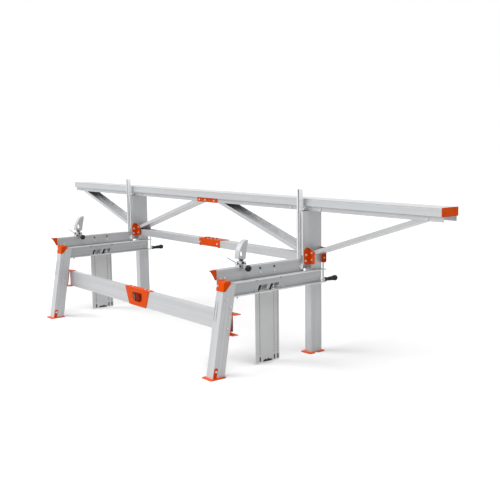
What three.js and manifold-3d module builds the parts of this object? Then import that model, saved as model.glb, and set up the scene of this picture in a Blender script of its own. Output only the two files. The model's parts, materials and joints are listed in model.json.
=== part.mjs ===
// Chainsaw mill: a long guide rail on two trestles, whose log beds are cranked up towards the saw.
// Millimetres. X runs along the rail, Y from the front legs to the columns, Z up from the floor.
// The mill is drawn with Y zero on the rail's front face and is centred over the floor at the end.

import * as THREE from 'three';
import { mergeVertices } from 'three/addons/utils/BufferGeometryUtils.js';
import Module from 'manifold-3d';

const wasm = await Module();
wasm.setup();

// Fits, and how far fused shapes reach into each other and cuts past a face

const fit = 0.3;
const weld = 0.5;
const overrun = 5;

// Facets

const roundSides = 16;
const holeSides = 10;
const plateHoleSides = 6;
const arcSteps = 6;

// Guide rail: a box section with two hanging flanges

const railHalfLength = 2750;
const railWidth = 175;
const railTop = 1290;
const railBoxHeight = 60;
const railFlangeDrop = 39;
const railWall = 3;
const railFrontFlangeInset = 22;
const railRearFlangeInset = 8.7;
const railFlangeThickness = 4;
const railGrooveInset = 6;
const railGrooveDepth = 1.5;
const railGrooveHeight = 4;
const railGrooveTaper = 0.5;
const endCapThickness = 3.7;
const endCapOverlap = 2;
const endCapPlugDepth = 30;

// Trestles: how far the two columns and the foot of each leg stand apart

const trestleSpacing = 2750;
const legReach = 1018;

// Column: a box tube whose upper part has two guide fins towards the log

const columnWidth = 76;
const columnDepth = 115;
const columnWall = 5;
const finThickness = 4;
const finLength = 92;
const finDrop = 1;

// Feet

const footThickness = 5;
const footCorner = 12;
const footHoleRadius = 7;
const columnFootWidth = 124;
const columnFootFrontReach = 38;
const columnFootRearReach = 24;
const columnFootFrontPad = 60;
const columnFootRearPad = 74;
const legFootLength = 150;
const legFootWidth = 128;
const legFootFrontReach = 32;
const footTabHeight = 85;
const footTabWidth = 30;
const footTabInset = 3;
const footTabThickness = 4;

// Fixed beam: a channel open to the outside, bolted to the column's side

const beamTop = 703;
const beamHeight = 113;
const beamWall = 4;
const beamFlange = 42;
const beamLip = 9;
const beamFrontGap = 4.4;
const beamRearReach = 20;
const beamWebSetback = 34;
const windowWidth = 84;
const windowHeight = 50;
const windowSlant = 24;
const windowPitch = 118;
const windowOverhang = 4;
const windowBaseGap = 5;

// Leg: a leaning channel, open to the back, with two grooves on each side

const legWidth = 83;
const legDepth = 111;
const legLean = 0.173;
const legWall = 4;
const legLip = 16;
const legTopGap = 3;
const legBedGap = 5;
const legGrooveDepth = 1.5;
const legGrooveWidth = 4;
const legGrooveTaper = 1;
const legGrooveShares = [0.33, 0.66];
const legSlotInsets = [6, 34];
const legSlotWidth = 5;
const legSlotHeight = 145;
const legSlotDrop = 128;
const crossBoltRadius = 6;
const crossBoltRise = 55;
const crossBoltInset = 40;

// Cap over the leg and the fixed beam's front end

const beamCapThickness = 3;
const beamCapRise = 18;
const beamCapHeight = 73;
const beamCapReach = 58;
const beamCapChamfer = 52;
const beamCapCorner = 10;

// Log bed: a channel open to the inside, lying beside the fixed beam

const bedTop = 800;
const bedHeight = 108;
const bedWidth = 66;
const bedColumnInset = 21;
const bedWall = 4;
const bedOverhang = 10;
const bedFlangeSetback = 80;
const bedWebReach = 32;
const bedLift = 420;
const noseReach = 62;
const noseDrop = 79;
const noseProud = 6;
const noseThickness = 8;
const noseTail = 45;
const noseEdgeShares = [
  [0, 0.05], [0.17, 0.13], [0.32, 0.25], [0.44, 0.4], [0.57, 0.57], [0.71, 0.77], [0.84, 1]];

// Height plate: the perforated plate that hangs from the bed

const plateInset = 449;
const plateWidth = 244;
const plateThickness = 3;
const plateFloorGap = 14;
const plateTopGap = 12;
const plateHolePitch = 23;
const plateHoleRadius = 5.5;
const plateHoleInsets = [44, 191, 228];
const plateHoleMargin = 70;
const plateSlotWidth = 9;
const plateSlotHeight = 34;
const plateSlotGap = 8.5;
const plateGap = 0.5;
const guideWall = 5;
const guideHold = 10;
const guideBottomGap = 6;
const guideTopGap = 8;

// Log post: the profile that slides in the bed's rear socket

const postWidth = 32;
const postDepth = 38;
const postReach = 58;
const postBottomRise = 20;
const postLength = 655;
const postGroove = 10;
const postGrooveInset = 4;
const postGrooveDepth = 8;
const socketWall = 4;
const socketFrontGap = 17;

// Lift: a rack in the column, driven by a pinion on the crank shaft

const gearModule = 4;
const pinionTeeth = 10;
const pressureAngle = THREE.MathUtils.degToRad(25);
const addendumShare = 0.8;
const dedendumShare = 1.1;
const backlashShare = 0.12;
const pinionWallGap = 1.8;
const pinionWidth = 24;
const rackWidth = 20;
const rackInset = 28;
const rackEnd = 6;
const shaftRise = 93;
const shaftRadius = 10;
const shaftEngage = 3;
const tongueThickness = 6;
const tongueSideGap = 2;
const tongueInset = 61;
const tongueHeight = 60;

// Crank and its grip

const crankStandoff = 46;
const crankLength = 187;
const crankBarWidth = 14;
const crankBarThickness = 7;
const crankHubRadius = 18;
const crankEyeRadius = 13;
const spindleRadius = 5;
const spindleCollar = 9;
const spindleHeadRadius = 9;
const spindleHeadLength = 5;
const gripLength = 140;
const gripRadius = 19;
const gripShares = [
  [0.84, 0], [0.92, 0.1], [0.7, 0.21], [0.77, 0.45], [0.84, 0.68], [1.14, 0.86], [0.95, 1]];

// Truss plates at the column

const nodePlateThickness = 3.7;
const nodePlateReach = 65;
const nodePlateDrop = 8;
const nodePlateHeight = 131;
const nodePlateLength = 60;
const nodePeakHeight = 12;
const nodeCorner = 14;
const nodeFlangeSlope = 28;
const rearPlateReach = 55;
const rearPlateDrop = 30;
const rearPlateHeight = 130;
const bearingWall = 9.7;
const bearingEndGap = 3;

// Truss braces, open at the top

const braceHeight = 32;
const braceWall = 3;
const braceFootHeight = 852;
const braceOuterInset = 150;
const braceInnerInset = 133;
const braceEndLength = 63;

// Back beam of the truss

const backBeamSetback = 11;
const backBeamDepth = 90;
const backBeamDrop = 90;
const backBeamHeight = 67;
const tubeWall = 3;

// Front beam between the legs, and its brackets

const frontBeamLegGap = 16.5;
const frontBeamDepth = 45;
const frontBeamBottom = 315;
const frontBeamHeight = 150;
const frontBeamHalfGap = 95;
const frontBeamInset = 28.5;
const bracketWall = 4;
const bracketReach = 32;
const bracketDepth = 61;
const bracketRib = 8;
const bracketPeak = 18;

// Joint plates

const jointPlate = 3.7;
const railJointHalf = 163;
const railJointHeight = 43;
const railJointDrop = 4;
const railJointCorner = 8;
const backJointHalf = 167;
const backJointFoot = 23;
const backJointCorner = 10;
const backJointLipFlare = 13;
const backJointLipReach = 15;
const frontJointTopHalf = 207;
const frontJointBottomHalf = 143;
const frontJointDrop = 5;
const shieldHalf = 80;
const shieldHeight = 82;
const shieldShoulderShare = 0.28;
const shieldPointShare = 0.5;

// Log clamp: saddle, hook, lever and clamping knob

const clampInset = 242;
const clampLength = 72;
const clampHeight = 45;
const clampEdgeInset = 24;
const clampCheek = 7;
const clampCheekDrop = 14;
const clampCorner = 8;
const hookInset = 15;
const hookClearance = 16.7;
const hookLength = 97;
const hookHeight = 141;
const hookBladeInset = 23;
const hookBladeThickness = 6;
const hookWidth = 52;
const hookRimThickness = 6;
const hookPivotShift = 3;
const hookPivotRise = 34;
const hookPivotRadius = 6;
const hookHubRadius = 15;
const hookBackShares = [
  [0, 0], [0.06, 0.23], [0.13, 0.45], [0.25, 0.62], [0.4, 0.79], [0.6, 0.92], [0.84, 0.99]];
const hookFaceShares = [[1, 1], [0.9, 0.65], [0.8, 0.36], [0.72, 0]];
const hookWindowShares = [
  [0.2, 0.16], [0.19, 0.34], [0.24, 0.42], [0.34, 0.42], [0.4, 0.3], [0.42, 0.16]];
const screwDrop = 5;
const screwShift = 16;
const screwRadius = 5;
const screwReach = 55;
const knobRadius = 23;
const leverRadius = 4;
const leverBossRadius = 11;
const leverBossWidth = 11;
const leverPinRadius = 5;
const leverHeadRadius = 8;
const leverHeadWidth = 4;
const leverInset = 5;
const leverRise = 34;
const leverLength = 124;
const leverTipRise = 28;

// Materials

function finish(color, roughness, metalness) {
  return new THREE.MeshStandardMaterial({ color, roughness, metalness });
}
const aluminium = finish(0xc9cccd, 0.42, 0.85);
const zinc = finish(0xb9bdbf, 0.4, 0.9);
const orange = finish(0xe2520f, 0.45, 0.1);
const blackPlastic = finish(0x17181a, 0.55, 0);

// Solids: closed shapes that can be joined and cut

function toSolid(geometry) {
  let plain = geometry.index ? geometry.toNonIndexed() : geometry;
  plain.deleteAttribute('normal');
  plain.deleteAttribute('uv');
  plain = mergeVertices(plain);
  return new wasm.Manifold(new wasm.Mesh({
    numProp: 3,
    vertProperties: new Float32Array(plain.attributes.position.array),
    triVerts: new Uint32Array(plain.index.array),
  }));
}

function toGeometry(solid) {
  const data = solid.getMesh();
  const geometry = new THREE.BufferGeometry();
  geometry.setAttribute('position', new THREE.BufferAttribute(new Float32Array(data.vertProperties), 3));
  geometry.setIndex(new THREE.BufferAttribute(new Uint32Array(data.triVerts), 1));
  geometry.computeVertexNormals();
  return geometry;
}

// The shape's two axes and its extrusion axis, for a prism along X, Y or Z
const prismFrames = {
  x: new THREE.Matrix4().set(0, 0, 1, 0, 1, 0, 0, 0, 0, 1, 0, 0, 0, 0, 0, 1),
  y: new THREE.Matrix4().set(0, 1, 0, 0, 0, 0, 1, 0, 1, 0, 0, 0, 0, 0, 0, 1),
  z: new THREE.Matrix4(),
};

// Points are (y, z) for a prism along X, (x, z) along Y and (x, y) along Z
function outline(points, axis, clockwise = false) {
  const ordered = axis === 'y' ? points.map(([a, b]) => [b, a]) : points;
  const loop = ordered.map(([a, b]) => new THREE.Vector2(a, b));
  return THREE.ShapeUtils.isClockWise(loop) === clockwise ? loop : loop.reverse();
}

function prismGeometry(points, axis, from, to, holes = []) {
  const shape = new THREE.Shape(outline(points, axis));
  shape.holes = holes.map((hole) => new THREE.Path(outline(hole, axis, true)));
  const geometry = new THREE.ExtrudeGeometry(shape, { depth: to - from, bevelEnabled: false });
  geometry.translate(0, 0, from);
  return geometry.applyMatrix4(prismFrames[axis]);
}

function prism(points, axis, from, to, holes = []) {
  return toSolid(prismGeometry(points, axis, from, to, holes));
}

function rectangle(a0, a1, b0, b1) {
  return [[a0, b0], [a1, b0], [a1, b1], [a0, b1]];
}

function block(x, y, z) {
  return prism(rectangle(x[0], x[1], y[0], y[1]), 'z', z[0], z[1]);
}

function circle(centre, radius, sides) {
  return Array.from({ length: sides }, (_, i) => {
    const turn = (i + 0.5) * 2 * Math.PI / sides;
    return [centre[0] + radius * Math.cos(turn), centre[1] + radius * Math.sin(turn)];
  });
}

function rod(axis, centre, radius, from, to, sides = roundSides) {
  return prism(circle(centre, radius, sides), axis, from, to);
}

// Mirrors an outline drawn on one side to give both sides
function bothSides(points) {
  return [...points, ...points.map(([a, b]) => [-a, b]).reverse()];
}

// A turned shape from its (radius, height) outline
function turned(profile) {
  return new THREE.LatheGeometry(profile.map(([radius, height]) => new THREE.Vector2(radius, height)), roundSides);
}

function join(first, ...others) {
  return others.reduce((whole, other) => whole.add(other), first);
}

function cut(first, ...others) {
  return others.reduce((whole, other) => whole.subtract(other), first);
}

const mill = new THREE.Group();

function place(parent, name, solid, material) {
  const geometry = solid.isBufferGeometry ? solid : toGeometry(solid);
  const part = new THREE.Mesh(geometry, material);
  part.name = name;
  parent.add(part);
}

// Places that several pieces share

const trestleX = trestleSpacing / 2;
const railBoxBottom = railTop - railBoxHeight;
const railBottom = railBoxBottom - railFlangeDrop;
const frontFlange = [railFrontFlangeInset, railFrontFlangeInset + railFlangeThickness];
const rearFlange = [
  railWidth - railRearFlangeInset - railFlangeThickness, railWidth - railRearFlangeInset];
const columnHalf = columnWidth / 2;
const columnRear = rearFlange[0] - fit;
const columnFront = columnRear - columnDepth;
const finFront = columnFront - finLength;
const beamInner = columnHalf + fit;
const beamOuter = beamInner + beamFlange;
const beamBottom = beamTop - beamHeight;
const beamRear = columnRear + beamRearReach;
const bedSide = columnHalf - bedColumnInset;
const bedInner = bedSide - bedWidth;
const bedBottom = bedTop - bedHeight;
const webInner = bedSide - bedWall;
const legInner = bedSide + legBedGap;
const legOuter = legInner + legWidth;
const legMiddle = (legInner + legOuter) / 2;
const legTop = beamTop - legTopGap;
const legFrontAt = (z) => legLean * z - legReach;
const legRearAt = (z) => legFrontAt(z) + legDepth;
const beamFront = legFrontAt(beamTop) + legWall + beamFrontGap;
const crossBolt = [legFrontAt(beamBottom + crossBoltRise) + crossBoltInset, beamBottom + crossBoltRise];
const postFront = -postReach;
const postRear = postFront + postDepth;
const postOuter = webInner - fit;
const postInner = postOuter - postWidth;
const socketRear = postRear + fit + socketWall;
const bedFlangeRear = postFront - fit - socketFrontGap - socketWall;
const bedFront = beamFront - bedOverhang;
const plateFront = bedFlangeRear - plateInset;
const plateRear = plateFront + plateWidth;
const plateOuter = webInner - fit;
const plateInner = plateOuter - plateThickness;
const toothPitch = Math.PI * gearModule;
const addendum = addendumShare * gearModule;
const dedendum = dedendumShare * gearModule;
const toothHalf = (toothPitch / 2 - backlashShare * gearModule) / 2;
const pinionRadius = gearModule * pinionTeeth / 2;
const shaftX = columnHalf - columnWall - pinionWallGap - addendum - pinionRadius;
const shaftAt = [shaftX, bedBottom + shaftRise];
const rackPitchLine = shaftX - pinionRadius;
const rackBack = columnWall + fit - columnHalf;
const rackFront = columnFront + columnWall + rackInset;
const tongueSpan = [rackBack + tongueSideGap, rackBack + tongueSideGap + tongueThickness];
const tongueTop = railBottom - fit - bedLift;
const tongueFront = bedFlangeRear - socketWall - tongueInset - tongueThickness;
const crankPlane = columnRear + crankStandoff;
const crankRear = crankPlane + crankBarThickness;
const gripStart = crankRear + spindleCollar;
const gripEnd = gripStart + gripLength;
const backBeamBottom = braceFootHeight - backBeamDrop;
const backBeamTop = backBeamBottom + backBeamHeight;
const backBeamFront = frontFlange[1] + backBeamSetback;
const frontBeamTop = frontBeamBottom + frontBeamHeight;
const frontBeamFront = legRearAt(frontBeamTop) + frontBeamLegGap;
const frontBeamRear = frontBeamFront + frontBeamDepth;
const braceSpan = [frontFlange[1] + fit, rearFlange[0] - fit];

// Guide rail sections, joined end to end at the middle, and the cap on one end

function railSection(from, to) {
  const [front, frontInner] = frontFlange;
  const [rearInner, rear] = rearFlange;
  const grooveTop = railTop - railGrooveInset;
  const grooveBottom = grooveTop - railGrooveHeight;
  const outer = [
    [0, railBoxBottom], [front, railBoxBottom], [front, railBottom], [frontInner, railBottom],
    [frontInner, railBoxBottom], [rearInner, railBoxBottom], [rearInner, railBottom], [rear, railBottom],
    [rear, railBoxBottom], [railWidth, railBoxBottom], [railWidth, railTop], [0, railTop],
    [0, grooveTop], [railGrooveDepth, grooveTop - railGrooveTaper],
    [railGrooveDepth, grooveBottom + railGrooveTaper], [0, grooveBottom],
  ];
  const inner = rectangle(railWall, railWidth - railWall, railBoxBottom + railWall, railTop - railWall);
  return prismGeometry(outer, 'x', from, to, [inner]);
}

function railEndCap() {
  const face = rectangle(
    -endCapOverlap, railWidth + endCapOverlap, railBoxBottom - endCapOverlap, railTop + endCapOverlap);
  const inset = railWall + fit;
  const plug = rectangle(inset, railWidth - inset, railBoxBottom + inset, railTop - inset);
  const start = railHalfLength + fit;
  return join(
    prism(face, 'x', start, start + endCapThickness), prism(plug, 'x', start - endCapPlugDepth, start + weld));
}

function railJointPlate() {
  const bottom = railBottom - railJointDrop;
  const top = bottom + railJointHeight;
  const edge = bothSides([
    [railJointHalf - railJointCorner, bottom], [railJointHalf, bottom + railJointCorner],
    [railJointHalf, top - railJointCorner], [railJointHalf - railJointCorner, top]]);
  const face = frontFlange[0] - fit;
  return prismGeometry(edge, 'y', face - jointPlate, face);
}

place(mill, 'left_guide_rail', railSection(-railHalfLength, -fit / 2), aluminium);
place(mill, 'right_guide_rail', railSection(fit / 2, railHalfLength), aluminium);
place(mill, 'rail_end_cap', railEndCap(), orange);
place(mill, 'rail_joint_plate', railJointPlate(), orange);

// Truss braces, rising from a column's side at X zero to the rail

function brace(run) {
  const slope = (railBoxBottom - braceFootHeight) / run;
  const steepness = Math.hypot(1, slope);
  const farEnd = run + braceEndLength;
  const line = (x, below) => [x, braceFootHeight + slope * x - below];
  const channel = (from, to, bottom, top) => [
    line(from, bottom), line(to, bottom), line(to, top), line(from, top)];
  const body = prism(channel(-braceHeight, farEnd + braceHeight, braceHeight * steepness, 0), 'y', ...braceSpan);
  const floor = (braceHeight - braceWall) * steepness;
  const hollow = prism(
    channel(-braceHeight - overrun, farEnd + braceHeight + overrun, floor, -braceHeight),
    'y', braceSpan[0] + braceWall, braceSpan[1] - braceWall);
  const room = block([fit, farEnd], braceSpan, [backBeamTop + fit, railBoxBottom - fit]);
  return cut(body, hollow).intersect(room);
}

function addBraces() {
  const outer = brace(railHalfLength - trestleX - columnHalf - braceOuterInset);
  const inner = brace(trestleX - columnHalf - braceInnerInset);
  const outerFoot = trestleX + columnHalf;
  const innerFoot = trestleX - columnHalf;
  place(mill, 'right_outer_brace', outer.translate([outerFoot, 0, 0]), aluminium);
  place(mill, 'left_outer_brace', outer.mirror([1, 0, 0]).translate([-outerFoot, 0, 0]), aluminium);
  place(mill, 'right_inner_brace', inner.mirror([1, 0, 0]).translate([innerFoot, 0, 0]), aluminium);
  place(mill, 'left_inner_brace', inner.translate([-innerFoot, 0, 0]), aluminium);
}
addBraces();

// Column with its foot and the plates that hold the truss

function column() {
  const inside = [columnHalf - columnWall, columnFront + columnWall, columnRear - columnWall];
  const shell = prism(
    rectangle(-columnHalf, columnHalf, columnFront, columnRear), 'z', footThickness + fit, railBoxBottom - fit,
    [rectangle(-inside[0], inside[0], inside[1], inside[2])]);
  const fin = block(
    [columnHalf - finThickness, columnHalf], [finFront, columnFront + weld],
    [backBeamBottom - finDrop, railBottom - fit]);
  const slot = block(
    [tongueSpan[0] - tongueSideGap, tongueSpan[1] + tongueSideGap], [columnFront - overrun, inside[1] + overrun],
    [tongueTop - tongueHeight - overrun, tongueTop + bedLift + overrun]);
  const shaftHole = rod('y', shaftAt, shaftRadius + fit, columnFront - overrun, columnRear + overrun);
  return cut(join(shell, fin, fin.mirror([1, 0, 0])), slot, shaftHole);
}

// Two pads joined by a narrow waist under the column
function columnFoot() {
  const half = columnFootWidth / 2;
  const waist = columnHalf - columnWall;
  const front = columnFront - columnFootFrontReach;
  const rear = columnRear + columnFootRearReach;
  const [waistFront, waistRear] = [front + columnFootFrontPad, rear - columnFootRearPad];
  const edge = bothSides([
    [half - footCorner, front], [half, front + footCorner], [half, waistFront],
    [waist, waistFront + footCorner], [waist, waistRear - footCorner],
    [half, waistRear], [half, rear - footCorner], [half - footCorner, rear]]);
  const boltX = half - footCorner - footHoleRadius;
  const boltYs = [front + footCorner + footHoleRadius, rear - footCorner - footHoleRadius];
  const holes = boltYs.flatMap((y) => [-boltX, boltX].map((x) => circle([x, y], footHoleRadius, holeSides)));
  return prismGeometry(edge, 'z', 0, footThickness, holes);
}

// An angle plate: one leg on the fin's side, one leg across the brace's end
function nodePlate() {
  const bottom = backBeamBottom - nodePlateDrop;
  const top = bottom + nodePlateHeight;
  const bend = frontFlange[1];
  const front = bend - nodePlateLength;
  const middle = (front + bend) / 2;
  const face = columnHalf + fit;
  const side = prism([
    [front, bottom + nodeCorner], [front + nodeCorner, bottom], [bend, bottom], [bend, top],
    [middle + nodeCorner, top], [middle, top + nodePeakHeight], [middle - nodeCorner, top],
    [front, top - nodeCorner],
  ], 'x', face, face + nodePlateThickness);
  const outer = columnHalf + nodePlateReach;
  const flange = prism([
    [face, bottom], [outer - nodeCorner, bottom], [outer, bottom + nodeCorner],
    [outer, top - nodeFlangeSlope], [face, top],
  ], 'y', bend - nodePlateThickness, bend);
  return join(side, flange);
}

// A plate behind the column whose boss carries the crank shaft
function rearPlate() {
  const half = columnHalf + rearPlateReach;
  const bottom = shaftAt[1] - rearPlateDrop;
  const top = bottom + rearPlateHeight;
  const edge = bothSides([
    [half - nodeCorner, bottom], [half, bottom + nodeCorner], [half, top - nodeCorner], [half - nodeCorner, top]]);
  const boreRadius = shaftRadius + fit;
  const boss = rod('y', shaftAt, boreRadius + bearingWall, rearFlange[1] - weld, crankPlane - bearingEndGap);
  const bore = rod('y', shaftAt, boreRadius, rearFlange[0] - overrun, crankPlane + overrun);
  return cut(join(prism(edge, 'y', ...rearFlange), boss), bore);
}

// Fixed beam with the guides that hold the height plate's edges

function beamGuide(edge, direction) {
  const sorted = (a, b) => [Math.min(a, b), Math.max(a, b)];
  const grooveEnd = edge + direction * plateGap;
  const inside = edge - direction * guideHold;
  const top = bedBottom - guideTopGap;
  const body = block(
    [plateInner - plateGap - guideWall, beamInner + weld], sorted(grooveEnd + direction * guideWall, inside),
    [beamBottom + guideBottomGap, top]);
  const groove = block(
    [plateInner - plateGap, plateOuter + plateGap], sorted(grooveEnd, inside - direction * overrun),
    [beamBottom, top + overrun]);
  return cut(body, groove);
}

function beamWindow(start) {
  const sill = beamBottom + windowBaseGap;
  return prism([
    [start, sill], [start + windowWidth, sill],
    [start + windowWidth + windowSlant, sill + windowHeight], [start + windowSlant, sill + windowHeight],
  ], 'x', beamInner - overrun, beamInner + beamWall + overrun);
}

function fixedBeam() {
  const webOuter = beamInner + beamWall;
  const lipInner = beamOuter - beamWall;
  const profile = prism([
    [beamInner, beamBottom], [beamOuter, beamBottom], [beamOuter, beamBottom + beamLip],
    [lipInner, beamBottom + beamLip], [lipInner, beamBottom + beamWall], [webOuter, beamBottom + beamWall],
    [webOuter, beamTop - beamWall], [lipInner, beamTop - beamWall], [lipInner, beamTop - beamLip],
    [beamOuter, beamTop - beamLip], [beamOuter, beamTop], [beamInner, beamTop],
  ], 'y', beamFront, beamRear);
  const firstWindow = plateFront - windowOverhang;
  const boltHole = rod('x', crossBolt, crossBoltRadius + fit, beamInner - overrun, webOuter + overrun);
  const webEnd = block(
    [beamInner - overrun, webOuter], [beamRear - beamWebSetback, beamRear + overrun],
    [beamBottom + beamWall, beamTop - beamWall]);
  const web = cut(profile, beamWindow(firstWindow), beamWindow(firstWindow + windowPitch), boltHole, webEnd);
  return join(web, beamGuide(plateFront, -1), beamGuide(plateRear, 1));
}

// Leg, drawn upright and leaned over by a shear

function legSection() {
  const front = -legReach;
  const rear = front + legDepth;
  const groove = (x, depth) => legGrooveShares.flatMap((share) => {
    const y = front + share * legDepth;
    const end = y + legGrooveWidth;
    return [[x, y], [x + depth, y + legGrooveTaper], [x + depth, end - legGrooveTaper], [x, end]];
  });
  return [
    [legInner, front], [legOuter, front], ...groove(legOuter, -legGrooveDepth), [legOuter, rear],
    [legOuter - legLip, rear], [legOuter - legLip, rear - legWall], [legOuter - legWall, rear - legWall],
    [legOuter - legWall, front + legWall], [legInner + legWall, front + legWall],
    [legInner + legWall, rear - legWall], [legInner + legLip, rear - legWall], [legInner + legLip, rear],
    [legInner, rear], ...groove(legInner, legGrooveDepth).reverse()];
}

function legSlots() {
  const top = legTop - legSlotDrop;
  return legSlotInsets.map((inset) => block(
    [legInner + inset, legInner + inset + legSlotWidth], [-legReach - overrun, -legReach + legWall + overrun],
    [top - legSlotHeight, top]));
}

// The bolt through its top holds the fixed beam
function leg() {
  const upright = cut(prism(legSection(), 'z', footThickness + fit, legTop), ...legSlots());
  const channel = upright.transform(new THREE.Matrix4().makeShear(0, 0, 0, 0, 0, legLean).elements);
  const beamRoom = block(
    [beamInner - fit, beamOuter + fit], [beamFront - fit, legRearAt(beamTop)], [beamBottom - fit, beamTop]);
  const bolt = rod('x', crossBolt, crossBoltRadius, legInner + weld, legOuter - weld);
  return join(cut(channel, beamRoom), bolt);
}

function legFoot() {
  const front = legFrontAt(0) - legFootFrontReach;
  const rear = front + legFootLength;
  const inner = legMiddle - legFootWidth / 2;
  const outer = legMiddle + legFootWidth / 2;
  const inset = footCorner + footHoleRadius;
  const plate = prism([
    [inner + footCorner, front], [outer - footCorner, front], [outer, front + footCorner],
    [outer, rear - footCorner], [outer - footCorner, rear], [inner + footCorner, rear],
    [inner, rear - footCorner], [inner, front + footCorner],
  ], 'z', 0, footThickness, [circle([outer - inset, rear - inset], footHoleRadius, holeSides)]);
  const tabFront = legFrontAt(0) + footTabInset;
  const radius = footTabWidth / 2;
  const centre = [tabFront + radius + legLean * footTabHeight, footTabHeight - radius];
  const arc = Array.from({ length: arcSteps + 1 }, (_, i) => {
    const turn = Math.PI * i / arcSteps;
    return [centre[0] + radius * Math.cos(turn), centre[1] + radius * Math.sin(turn)];
  });
  const tab = prism(
    [[tabFront, footThickness - weld], [tabFront + footTabWidth, footThickness - weld], ...arc], 'x',
    legOuter + fit, legOuter + fit + footTabThickness);
  return join(plate, tab);
}

// Folded cap over the leg's and the fixed beam's front end
function beamCap() {
  const top = beamTop + beamCapRise + beamCapThickness;
  const bottom = top - beamCapHeight;
  const front = (z) => legFrontAt(z) - fit - beamCapThickness;
  const rear = front(top) + beamCapThickness + beamCapReach;
  const face = [
    [front(bottom), bottom], [rear - beamCapChamfer, bottom], [rear, bottom + beamCapChamfer], [rear, top],
    [front(top) + beamCapCorner, top], [front(top - beamCapCorner), top - beamCapCorner]];
  const roomTop = top - beamCapThickness;
  const room = [
    [front(bottom - overrun) + beamCapThickness, bottom - overrun], [rear + overrun, bottom - overrun],
    [rear + overrun, roomTop], [front(roomTop) + beamCapThickness + beamCapCorner, roomTop],
    [front(roomTop - beamCapCorner) + beamCapThickness, roomTop - beamCapCorner]];
  const inner = legInner - fit;
  const outer = legOuter + fit;
  return cut(prism(face, 'x', inner - beamCapThickness, outer + beamCapThickness), prism(room, 'x', inner, outer));
}

// Log bed: a channel with a socket for the log post at its rear

function logBed() {
  const channel = prism([
    [bedSide, bedBottom], [bedSide, bedTop], [bedInner, bedTop], [bedInner, bedTop - bedWall],
    [webInner, bedTop - bedWall], [webInner, bedBottom + bedWall], [bedInner, bedBottom + bedWall],
    [bedInner, bedBottom],
  ], 'y', bedFront, bedFlangeRear);
  const height = [bedBottom, bedTop];
  const through = [bedBottom - overrun, bedTop + overrun];
  const web = block([webInner, bedSide], [bedFlangeRear - weld, bedFlangeRear + bedWebReach], height);
  const walls = block(
    [postInner - fit - socketWall, webInner + weld], [bedFlangeRear - socketWall, socketRear], height);
  const behindWeb = block(
    [webInner, bedSide], [bedFlangeRear + bedWebReach, socketRear + overrun], through);
  const postRoom = block([postInner - fit, webInner], [postFront - fit, postRear + fit], through);
  const plateSlot = block(
    [plateInner - fit, webInner], [plateFront - plateGap, plateRear + plateGap],
    [bedBottom - overrun, bedBottom + bedWall + overrun]);
  const legRoom = block(
    [bedInner - overrun, webInner], [bedFront - overrun, bedFront + bedFlangeSetback],
    [bedBottom - overrun, bedBottom + bedWall]);
  return cut(join(channel, web, cut(walls, behindWeb, postRoom)), plateSlot, legRoom);
}

// A plate on the web's inner face, with a tail inside the bed
function bedNose() {
  const seat = bedFront - fit;
  const top = bedTop + noseProud;
  const bottom = top - noseDrop;
  const tailTop = bedTop - bedWall - fit;
  const edge = noseEdgeShares.map(([back, down]) => [seat - noseReach * (1 - back), top - noseDrop * down]);
  const outer = webInner - fit;
  return prismGeometry([
    [seat, top], [seat - noseReach, top], ...edge, [seat + noseTail, bottom], [seat + noseTail, tailTop],
    [seat, tailTop],
  ], 'x', outer - noseThickness, outer);
}

function heightPlate() {
  const plate = block(
    [plateInner, plateOuter], [plateFront, plateRear], [plateFloorGap, bedTop - plateTopGap]);
  const slotBottom = plateFloorGap + plateSlotGap;
  const slotHalf = plateSlotWidth / 2;
  const holes = [];
  for (const inset of plateHoleInsets) {
    const y = plateFront + inset;
    holes.push(rectangle(y - slotHalf, y + slotHalf, slotBottom, slotBottom + plateSlotHeight));
    for (let z = plateFloorGap + plateHoleMargin; z < bedBottom - plateHoleMargin; z += plateHolePitch) {
      holes.push(circle([y, z], plateHoleRadius, plateHoleSides));
    }
  }
  return cut(plate, ...holes.map((hole) => prism(hole, 'x', plateInner - overrun, plateOuter + overrun)));
}

// A profile with a groove in its front, near its outer side
function logPost() {
  const grooveOuter = postOuter - postGrooveInset;
  const grooveInner = grooveOuter - postGroove;
  const grooveRear = postFront + postGrooveDepth;
  const bottom = bedBottom + postBottomRise;
  const section = [
    [postInner, postFront], [grooveInner, postFront], [grooveInner, grooveRear], [grooveOuter, grooveRear],
    [grooveOuter, postFront], [postOuter, postFront], [postOuter, postRear], [postInner, postRear]];
  return prismGeometry(section, 'z', bottom, bottom + postLength);
}

// Lift rack: a toothed bar in the column with a tongue that carries the bed

function liftRack() {
  const tip = rackPitchLine + addendum;
  const root = rackPitchLine - dedendum;
  const spread = Math.tan(pressureAngle);
  const toothCount = Math.ceil(bedLift / toothPitch) + 1;
  const teeth = [];
  for (let i = 0; i < toothCount; i += 1) {
    const z = shaftAt[1] + toothPitch / 2 - i * toothPitch;
    teeth.push(
      [root, z + toothHalf + dedendum * spread], [tip, z + toothHalf - addendum * spread],
      [tip, z - toothHalf + addendum * spread], [root, z - toothHalf - dedendum * spread]);
  }
  const top = shaftAt[1] + toothPitch + rackEnd;
  const bottom = shaftAt[1] - toothCount * toothPitch - rackEnd;
  const bar = prism(
    [[rackBack, bottom], [rackBack, top], [root, top], ...teeth, [root, bottom]], 'y',
    rackFront, rackFront + rackWidth);
  const tongue = block(tongueSpan, [tongueFront, rackFront + weld], [tongueTop - tongueHeight, tongueTop]);
  const foot = block(
    [tongueSpan[0], webInner - fit], [tongueFront, tongueFront + tongueThickness],
    [bedBottom + bedWall + fit, bedTop - bedWall - fit]);
  return join(bar, tongue, foot);
}

// Crank shaft with its pinion, whose flanks are involutes

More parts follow.
